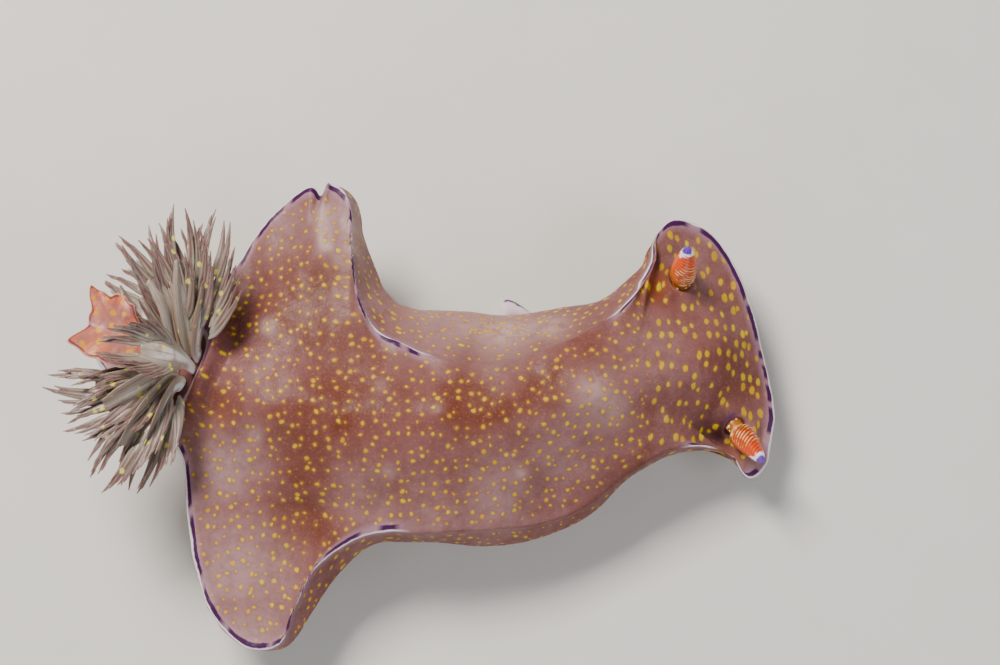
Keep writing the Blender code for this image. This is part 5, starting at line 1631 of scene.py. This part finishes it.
def horn():
    """The whole horn, from inside the skin of the rear to the middle of the sheet."""
    middle = place(*HORN_MIDDLE)
    corners = []
    for turn, reach in HORN_STAR:
        angle = math.radians(turn)
        corners.append(Vector((math.cos(angle) * reach, math.sin(angle) * reach, 0.0)))
    outline = [curve_point(corners, i * len(corners) / HORN_SIDES, closed=True)
               for i in range(HORN_SIDES)]
    rows = []
    for along, out, height, width, depth in HORN_STALK:
        centre = place(along, out, height)
        rows.append([tuple(centre + Vector((depth * corner.x, width * corner.y, 0.0)) / corner.length)
                     for corner in outline])
    rows += [horn_row(middle, outline, share, side) for share, side in HORN_ROWS]
    rows = np.array(rows)
    rows = np.concatenate([[2.0 * rows[0] - rows[1]], rows, [2.0 * rows[-1] - rows[-2]]])
    rings = fill_rows(rows, HORN_FILL)
    steps = np.linalg.norm(np.diff(rings, axis=0), axis=2)
    arc = np.concatenate([np.zeros((1, HORN_SIDES)), np.cumsum(steps, axis=0)])
    rim_row = sum(HORN_FILL[:len(HORN_STALK) + 3])
    depth = np.abs(arc - arc[rim_row])
    verts, faces = loft(rings)
    bumps = np.array([noise.noise(Vector(point) * 0.45) for point in verts])
    verts[:, 2] += HORN_BUMPS * bumps
    numbers = {
        "rim_depth": np.concatenate([depth.reshape(-1), [FAR, depth[-1].mean()]]),
        "up": smooth_step(15.0, 31.0, verts[:, 2]),
    }
    item = mesh_piece("horn_live", verts, faces, horn_finish, numbers)
    face_out(item)
    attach(item, "root")
    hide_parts("horn")
    return item


horn_piece = horn()
print("horn:", len(horn_piece.data.polygons), "faces")

# %% [markdown]
# ## Gills
#
# The gills are feathers of thin translucent tissue, each with a flat white shaft that splits
# into branches, which carry hundreds of fine pointed filaments. The solid has ten shafts with
# ten filaments each. Here each shaft gets branches, and each branch gets filaments, by one
# node group that sets a bent tapering tube on every root point. Hair curves would be quicker
# to place, but they aren't solid tissue and don't export.

# %% Gill material


def gill_material():
    material, tree = new_finish("gill_tissue_translucent")
    up, strap, around = [add(tree, MARK, out="Fac", attribute_name=name)
                         for name in ("up_share", "strap", "around")]
    coords = add(tree, COORDS, out="Object")
    mottle = add(tree, NOISE, {"Vector": coords, "Scale": 420.0, "Detail": 3.0})
    dots = add(tree, CELLS, {"Vector": coords, "Scale": 400.0})
    turn = product(tree, around, math.tau)
    across = add(tree, MATH, [turn], operation="COSINE")
    off_middle = add(tree, MATH, [across], operation="ABSOLUTE")
    middle = add(tree, MATH, [add(tree, MATH, [turn], operation="SINE")], operation="ABSOLUTE")
    fan = add(tree, MATH, [product(tree, across, 8.0)], operation="SINE")
    fan = add(tree, MATH, [fan], operation="ABSOLUTE")
    on_strap = add(tree, RANGE, [strap, 0.5, 0.7])
    membrane = add(tree, MATH, [add(tree, RANGE, [off_middle, 0.12, 0.5]),
                                add(tree, RANGE, [up, 0.4, 0.6])], operation="MAXIMUM")
    white = paint(tree, "#e6e2e0", [
        ("#b09a8c", (mottle, 0.5, 0.72)),
        ("#877d6c", membrane, (up, 0.1, 0.3), 0.85),
    ])
    base = paint(tree, "#8f8778", [
        ("#77635b", (up, 0.1, 0.9)),
        (white, (strap, 0.3, 0.9)),
        # A maroon vessel runs along the middle of each finger, and its tip is darker.
        ("#5f2028", (middle, 0.9, 0.99), (strap, 0.6, 0.3), (up, 0.05, 0.3), 0.8),
        ("#6e3a3c", (up, 0.8, 1.0, 0.0, 0.5)),
        # A strap's margins are rust brown, and thin brown vessels fan out in its flat part.
        ("#8f5630", (middle, 0.5, 0.15), on_strap, 0.7),
        ("#7c4438", (fan, 0.3, 0.1), on_strap, (up, 0.25, 0.4), 0.6),
        ("#e4d860", (dots, 0.24, 0.14), (up, 0.9, 0.75), 0.9),
    ])
    # Thin wet tissue with little pigment: much light passes under its surface.
    close_finish(tree, {
        "Base Color": base,
        "Roughness": 0.36,
        "Subsurface Weight": 0.4,
        "Subsurface Radius": (1.0, 0.75, 0.7),
        "Subsurface Scale": 0.001,
    })
    return material


gill_finish = gill_material()
print("gill finish:", len(gill_finish.node_tree.nodes), "nodes")

# %% [markdown]
# ## Fingers and filaments
#
# Hundreds of thin tapering tubes stand on the gills. What repeats is a job for Geometry Nodes:
# a group sets a straight line on every root point, turns and scales it by numbers stored
# there, bends it, and sweeps a flat ring along it. In the end the copies are made real and get
# their finish, because copies that are only shown don't export.

# %% Node group for filaments
FILAMENT_POINTS = 9
FILAMENT_SIDES = 8
FLATNESS = 0.42
CURL = 0.2
TAPER_POWER = 1.4
STORED = "GeometryNodeInputNamedAttribute"
STORE = "GeometryNodeStoreNamedAttribute"


def filament_group():
    """Sets a bent tapering tube on each point, from the numbers stored at the point."""
    tree = bpy.data.node_groups.new("filaments_on_points", "GeometryNodeTree")
    for name, kind, value in (("Geometry", "Geometry", None), ("Points", "Int", FILAMENT_POINTS),
                              ("Sides", "Int", FILAMENT_SIDES), ("Curl", "Float", CURL),
                              ("Material", "Material", None)):
        socket = tree.interface.new_socket(name, in_out="INPUT", socket_type="NodeSocket" + kind)
        if value is not None:
            socket.default_value = value
    tree.interface.new_socket("Geometry", in_out="OUTPUT", socket_type="NodeSocketGeometry")
    given = add(tree, "NodeGroupInput").node.outputs
    number = {name: add(tree, STORED, [name], data_type="FLOAT")
              for name in ("reach", "girth", "tip", "up_share")}
    arrow = {name: add(tree, STORED, [name], data_type="FLOAT_VECTOR") for name in ("way", "side")}
    share = add(tree, "GeometryNodeSplineParameter", out="Factor")
    line = add(tree, "GeometryNodeCurvePrimitiveLine", {"End": (0.0, 0.0, 1.0)})
    line = add(tree, "GeometryNodeResampleCurve", {"Curve": line, "Count": given["Points"]})
    line = add(tree, STORE, {"Geometry": line, "Name": "up_share", "Value": share},
               data_type="FLOAT", domain="POINT")
    turned = add(tree, "FunctionNodeAxesToRotation", [arrow["way"], arrow["side"]],
                 primary_axis="Z", secondary_axis="X")
    size = add(tree, "ShaderNodeCombineXYZ", [number["reach"]] * 3)
    lines = add(tree, "GeometryNodeInstanceOnPoints", {
        "Points": given["Geometry"], "Instance": line, "Rotation": turned, "Scale": size})
    lines = add(tree, "GeometryNodeRealizeInstances", {"Geometry": lines})
    up = number["up_share"]
    bent = product(tree, up, up, number["reach"], given["Curl"])
    bent = add(tree, VECTOR, [arrow["side"], bent], operation="SCALE")
    lines = add(tree, "GeometryNodeSetPosition", {"Geometry": lines, "Offset": bent})
    # A tube thins to its tip, and at its base too, so that no blunt end shows on the shaft.
    lost = product(tree, add(tree, MATH, [up, TAPER_POWER], operation="POWER"),
                   add(tree, MATH, [1.0, number["tip"]], operation="SUBTRACT"))
    radius = product(tree, add(tree, MATH, [1.0, lost], operation="SUBTRACT"),
                     (up, -0.07, 0.2), number["girth"])
    lines = add(tree, "GeometryNodeSetCurveRadius", {"Curve": lines, "Radius": radius})
    lines = add(tree, "GeometryNodeSetCurveNormal", {"Curve": lines}, mode="Z_UP")
    ring = add(tree, "GeometryNodeCurvePrimitiveCircle", [given["Sides"], 1.0])
    ring = add(tree, STORE, {"Geometry": ring, "Name": "around", "Value": share},
               data_type="FLOAT", domain="POINT")
    ring = add(tree, "GeometryNodeTransform", {"Geometry": ring, "Scale": (1.0, FLATNESS, 1.0)})
    tubes = add(tree, "GeometryNodeCurveToMesh", {"Curve": lines, "Profile Curve": ring,
                                                  "Scale": radius, "Fill Caps": True})
    tubes = add(tree, "GeometryNodeRealizeInstances", {"Geometry": tubes})
    tubes = add(tree, "GeometryNodeSetMaterial", {"Geometry": tubes, "Material": given["Material"]})
    add(tree, "NodeGroupOutput", {"Geometry": tubes})
    return tree


filaments_on_points = filament_group()
print("node group:", len(filaments_on_points.nodes), "nodes")

# %% [markdown]
# ## The gills' form
#
# Ten shafts stand round the pocket. Each is a flat strap that rises out of the pocket, bends
# outward and ends in a fringe: fingers along its margins, and filaments on each finger. Their
# directions and lengths are drawn at random from a fixed seed for each gill, so that no two
# are alike and every run gives the same plumes. The shaft is a loft, and only the fringe is
# grown by the node group.

# %% Sizes of the gills
# Round the pocket from the left side over the rear to the right: direction and distance of the
# root from the pocket's middle, along, out and height of the tip, how far the middle bows to
# the left, and how high the shaft stands up before it bends.
GILLS = [
    (60.0, 4.6, (-47.0, 22.8, 30.5), 0.0, 4.0),
    (88.0, 4.6, (-53.5, 21.2, 34.0), 0.0, 4.0),
    (110.0, 4.6, (-56.2, 16.8, 30.5), 1.6, 4.0),
    (132.0, 4.6, (-60.0, 12.0, 34.0), 2.6, 4.0),
    (156.0, 4.6, (-62.0, 6.4, 23.5), 2.8, 4.0),
    (10.0, 1.6, (-53.0, -3.5, 36.5), 0.0, 8.5),
    (210.0, 4.6, (-63.3, -9.6, 25.0), -3.2, 4.0),
    (232.0, 4.6, (-57.4, -16.9, 27.5), -1.0, 4.0),
    (256.0, 4.6, (-49.4, -24.6, 25.0), 0.0, 4.0),
    (282.0, 4.6, (-43.8, -22.6, 22.5), 0.0, 4.0),
]
STRAP_WIDTH = [0.95, 1.0, 1.2, 1.6, 2.3, 3.0, 3.3, 3.1, 2.2]
STRAP_DEPTH = [0.7, 0.52, 0.4, 0.3, 0.24, 0.2, 0.17, 0.14, 0.1]
STRAP_END = 0.78
STRAP_RIPPLE = 0.32
STRAP_RIPPLES = 8.0
STRAP_ROWS = 64
STRAP_SIDES = 24
ROOT_RING = (1.9, 3.1)
ROOT_SHIFT = 0.3
ROOT_AHEAD = 1.3
ROOT_SINK = 0.9
# Fingers of tissue along the strap's margins, and fine filaments along each finger.
FINGERS = 21
FINGER_FIRST = 0.42
FINGER_GIRTH = 0.78
FINGER_LONGEST = 0.37
FILAMENTS_EACH = 3
FILAMENT_REACH = 2.4
FILAMENT_GIRTH = 0.3
print("gills:", len(GILLS))

# %% [markdown]
# ## Middle of a gill
#
# A gill stands up out of the pocket before it bends outward, so four points are enough for
# its line: its root, the bend, the middle and the tip.

# %% Middle of a gill


def gill_line(turn, distance, tip, bow, stand):
    """Points up the middle of a gill, from the floor of the pocket to its tip."""
    angle = math.radians(turn)
    across = Vector((-pocket_ahead.y, pocket_ahead.x, 0.0))
    outward = pocket_ahead * math.cos(angle) * ROOT_RING[0] + across * math.sin(angle) * ROOT_RING[1]
    outward *= distance / GILLS[0][1]
    outward += pocket_ahead * ROOT_AHEAD
    root = pocket - pocket_lean * ROOT_SINK + outward + across * ROOT_SHIFT
    end = place(*tip)
    first = root + pocket_lean * (stand + ROOT_SINK) + outward.normalized() * 0.1 * stand
    level = (end - first).xy.normalized()
    left = Vector((level.y, -level.x, 0.0))
    second = first.lerp(end, 0.4) + Vector((0.0, 0.0, 2.6)) + left * bow
    return bend([root, first, second, end], len(STRAP_WIDTH))


print("tip of the first gill:", gill_line(*GILLS[0])[-1])

# %% [markdown]
# ## What grows on a gill
#
# Fingers stand to the left and right in turn and lean to the tip, and each carries a few
# filaments. Only their roots are worked out here: place, direction, side of the bend, length,
# girth, how thick the tip stays, and how much of the strap's colour it has.

# %% What grows on a gill


def growth(line, widths, draw):
    """Roots of a gill's fingers and filaments, each with its numbers."""
    length = sum((end - start).length for start, end in zip(line, line[1:]))
    rows = []
    for i in range(FINGERS):
        share = FINGER_FIRST + (STRAP_END - 0.02 - FINGER_FIRST) * i / (FINGERS - 1)
        spot = share * (len(line) - 1)
        start = curve_point(line, spot)
        ahead = (curve_point(line, spot + 0.3) - curve_point(line, spot - 0.3)).normalized()
        across = ahead.cross(Vector((0.0, 0.0, 1.0))).normalized()
        up = across.cross(ahead)
        side = 1.0 if i % 2 else -1.0
        last = smooth_step(0.6, 0.95, i / (FINGERS - 1))
        wide = profile(widths, share / STRAP_END)
        inset = draw.uniform(0.5, 0.7) * (1.0 - last) + draw.uniform(0.0, 0.8) * last
        spread = side * math.radians(34.0 - 26.0 * i / (FINGERS - 1) + draw.uniform(-3.0, 3.0))
        pitch = math.radians(draw.uniform(-6.0, 9.0))
        level = ahead * math.cos(spread) + across * math.sin(spread)
        way = level * math.cos(pitch) + up * math.sin(pitch)
        reach = length * min(FINGER_LONGEST, 1.14 - share) * draw.uniform(0.84, 1.02)
        bent = (ahead - way * ahead.dot(way)).normalized()
        root = start + across * side * wide * inset
        rows.append((root, way, bent, reach, FINGER_GIRTH * draw.uniform(0.85, 1.1), 0.1, 0.35))
        for j in range(FILAMENTS_EACH):
            on = 0.22 + 0.7 * (j + draw.random() * 0.6) / FILAMENTS_EACH
            spot = root + way * reach * on + bent * reach * CURL * on * on
            heading = (way + bent * 2.0 * CURL * on).normalized()
            lateral = heading.cross(up).normalized()
            turn = (1.0 if j % 2 else -1.0) * math.radians(draw.uniform(12.0, 22.0))
            tilt = math.radians(draw.uniform(-8.0, 12.0))
            level = heading * math.cos(turn) + lateral * math.sin(turn)
            leaf = level * math.cos(tilt) + up * math.sin(tilt)
            lean = (heading - leaf * heading.dot(leaf)).normalized()
            size = FILAMENT_REACH * draw.uniform(0.7, 1.15) * (1.15 - 0.6 * on)
            thickness = FILAMENT_GIRTH * draw.uniform(0.85, 1.2)
            rows.append((spot, leaf.normalized(), lean, size, thickness, 0.15, 0.0))
    return rows


print("roots on one gill:", FINGERS * (1 + FILAMENTS_EACH))

# %% [markdown]
# ## Tubes from roots
#
# The roots become the vertices of a small mesh with numbers on it. The node group grows the
# tubes, the result is taken as a plain mesh, and the small mesh goes away again.

# %% Tubes from roots


def grown(name, rows):
    """A plain mesh of tubes grown by the node group from root points."""
    mesh = bpy.data.meshes.new(name + "_roots")
    mesh.from_pydata([tuple(row[0] * MM) for row in rows], [], [])
    for key, column in (("way", 1), ("side", 2)):
        layer = mesh.attributes.new(key, "FLOAT_VECTOR", "POINT")
        arrows = np.array([tuple(row[column]) for row in rows], np.float32)
        layer.data.foreach_set("vector", arrows.reshape(-1))
    for key, column, factor in (("reach", 3, MM), ("girth", 4, MM), ("tip", 5, 1.0), ("strap", 6, 1.0)):
        layer = mesh.attributes.new(key, "FLOAT", "POINT")
        values = np.array([row[column] * factor for row in rows], np.float32)
        layer.data.foreach_set("value", values)
    item = new_object(name + "_roots", mesh)
    modifier = item.modifiers.new("filaments", "NODES")
    modifier.node_group = filaments_on_points
    names = {socket.name: socket.identifier for socket in filaments_on_points.interface.items_tree
             if socket.in_out == "INPUT"}
    for key, value in (("Points", FILAMENT_POINTS), ("Sides", FILAMENT_SIDES), ("Curl", CURL),
                       ("Material", gill_finish)):
        modifier[names[key]] = value
    bpy.context.view_layer.update()
    made = bpy.data.meshes.new_from_object(item.evaluated_get(bpy.context.evaluated_depsgraph_get()))
    bpy.data.objects.remove(item, do_unlink=True)
    return made


print("points of a tube:", FILAMENT_POINTS * FILAMENT_SIDES)

# %% [markdown]
# ## The gills themselves
#
# Strap and tubes are joined to one mesh, which stands for the solid of the same gill.

# %% Gills


def gill(number):
    """One gill, with its strap, fingers and filaments in one mesh."""
    name = "gill_%d" % (number + 1)
    line = gill_line(*GILLS[number])
    draw = random.Random(100 + number)
    widths = [(i / (len(STRAP_WIDTH) - 1), width) for i, width in enumerate(STRAP_WIDTH)]
    shares = [STRAP_END * i / (STRAP_ROWS - 1) for i in range(STRAP_ROWS)]
    fine = [curve_point(line, share * (len(line) - 1)) for share in shares]
    wide = [profile(widths, share / STRAP_END) for share in shares]
    rings = rings_along(fine, wide, bend_sizes(STRAP_DEPTH, STRAP_ROWS), STRAP_SIDES)
    verts, faces = loft(rings)
    around = np.arange(STRAP_SIDES) / STRAP_SIDES
    ripple = STRAP_RIPPLE * np.sin(np.cos(math.tau * around) * STRAP_RIPPLES)[None, :]
    ripple = ripple * smooth_step(0.25, 0.6, np.array(shares))[:, None]
    verts[:, 2] += np.concatenate([ripple.reshape(-1), [0.0, 0.0]])
    numbers = {"up_share": row_values(np.array(shares) * 0.8, STRAP_SIDES),
               "strap": row_values(1.0 - 0.5 * np.array(shares), STRAP_SIDES),
               "around": np.concatenate([np.tile(around, STRAP_ROWS), [0.0, 0.0]])}
    item = mesh_piece(name + "_live", verts, faces, gill_finish, numbers)
    face_out(item)
    tubes = grown(name, growth(line, widths, draw))
    both = bmesh.new()
    both.from_mesh(item.data)
    both.from_mesh(tubes)
    both.to_mesh(item.data)
    both.free()
    item.data.shade_smooth()
    for key in ("way", "side", "reach", "girth", "tip"):
        if key in item.data.attributes:
            item.data.attributes.remove(item.data.attributes[key])
    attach(item, "root")
    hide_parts(name)
    return item


gills = [gill(number) for number in range(len(GILLS))]
print("gills:", sum(len(item.data.polygons) for item in gills), "faces")

# %% [markdown]
# ## Camera, light and floor
#
# The camera looks down at 78 degrees from a distance of about 0.4 m, as the photo does, with
# the same framing. Three soft lamps and a weak even sky stand in for a studio, and the floor is
# pale matt card. A harder light would be closer to a flash, but it would hide the finish
# behind glints.

# %% Camera, light and floor
CAMERA_PLACE = (0.01321, -0.06653, 0.39570)
CAMERA_TARGET = (0.01321, 0.01248, 0.024)
CAMERA_LENS = 85.5
FLOOR_HALF = 3.0


def look_at(item, start, end):
    """Places an item and turns it to look at a point."""
    item.location = start
    item.rotation_euler = (Vector(end) - Vector(start)).to_track_quat("-Z", "Y").to_euler()


camera = new_object("camera", bpy.data.cameras.new("camera"))
look_at(camera, CAMERA_PLACE, CAMERA_TARGET)
camera.data.sensor_width = 36.0
camera.data.lens = CAMERA_LENS
camera.data.clip_start = 0.01
camera.data.clip_end = 20.0
bpy.context.scene.camera = camera

# Soft lamps: place, size in metres, power in watts and colour.
LAMPS = {
    "key": ((-0.2, 0.26, 0.5), 0.2, 6.4, "#fff8f0"),
    "fill": ((0.42, -0.28, 0.42), 0.4, 2.0, "#f4f7ff"),
    "back": ((-0.35, -0.5, 0.35), 0.4, 1.2, "#ffffff"),
}
for name, (spot, size, power, colour) in LAMPS.items():
    lamp = new_object(name, bpy.data.lights.new(name, "AREA"))
    lamp.data.size = size
    lamp.data.energy = power
    lamp.data.color = linear(colour)[:3]
    look_at(lamp, spot, (0.0, 0.0, 0.015))

world = bpy.data.worlds.new("studio")
world.use_nodes = True
world.node_tree.nodes["Background"].inputs[0].default_value = linear("#e9e9e7")
world.node_tree.nodes["Background"].inputs[1].default_value = 0.28
bpy.context.scene.world = world

# Matt card: no gloss, and a faint mottle about 10 mm wide.
floor_finish, tree = new_finish("pale_matt_card")
mottle = add(tree, NOISE, {"Vector": add(tree, COORDS, out="Object"), "Scale": 100.0, "Detail": 3.0})
close_finish(tree, {"Base Color": paint(tree, "#c9c7c2", [("#cfcdc8", mottle)]), "Roughness": 0.85})
corners = np.array([(-1, -1, 0), (1, -1, 0), (1, 1, 0), (-1, 1, 0)]) * FLOOR_HALF / MM
floor = mesh_piece("floor", corners, [(0, 1, 2, 3)], floor_finish)
print("lamps:", len(LAMPS))
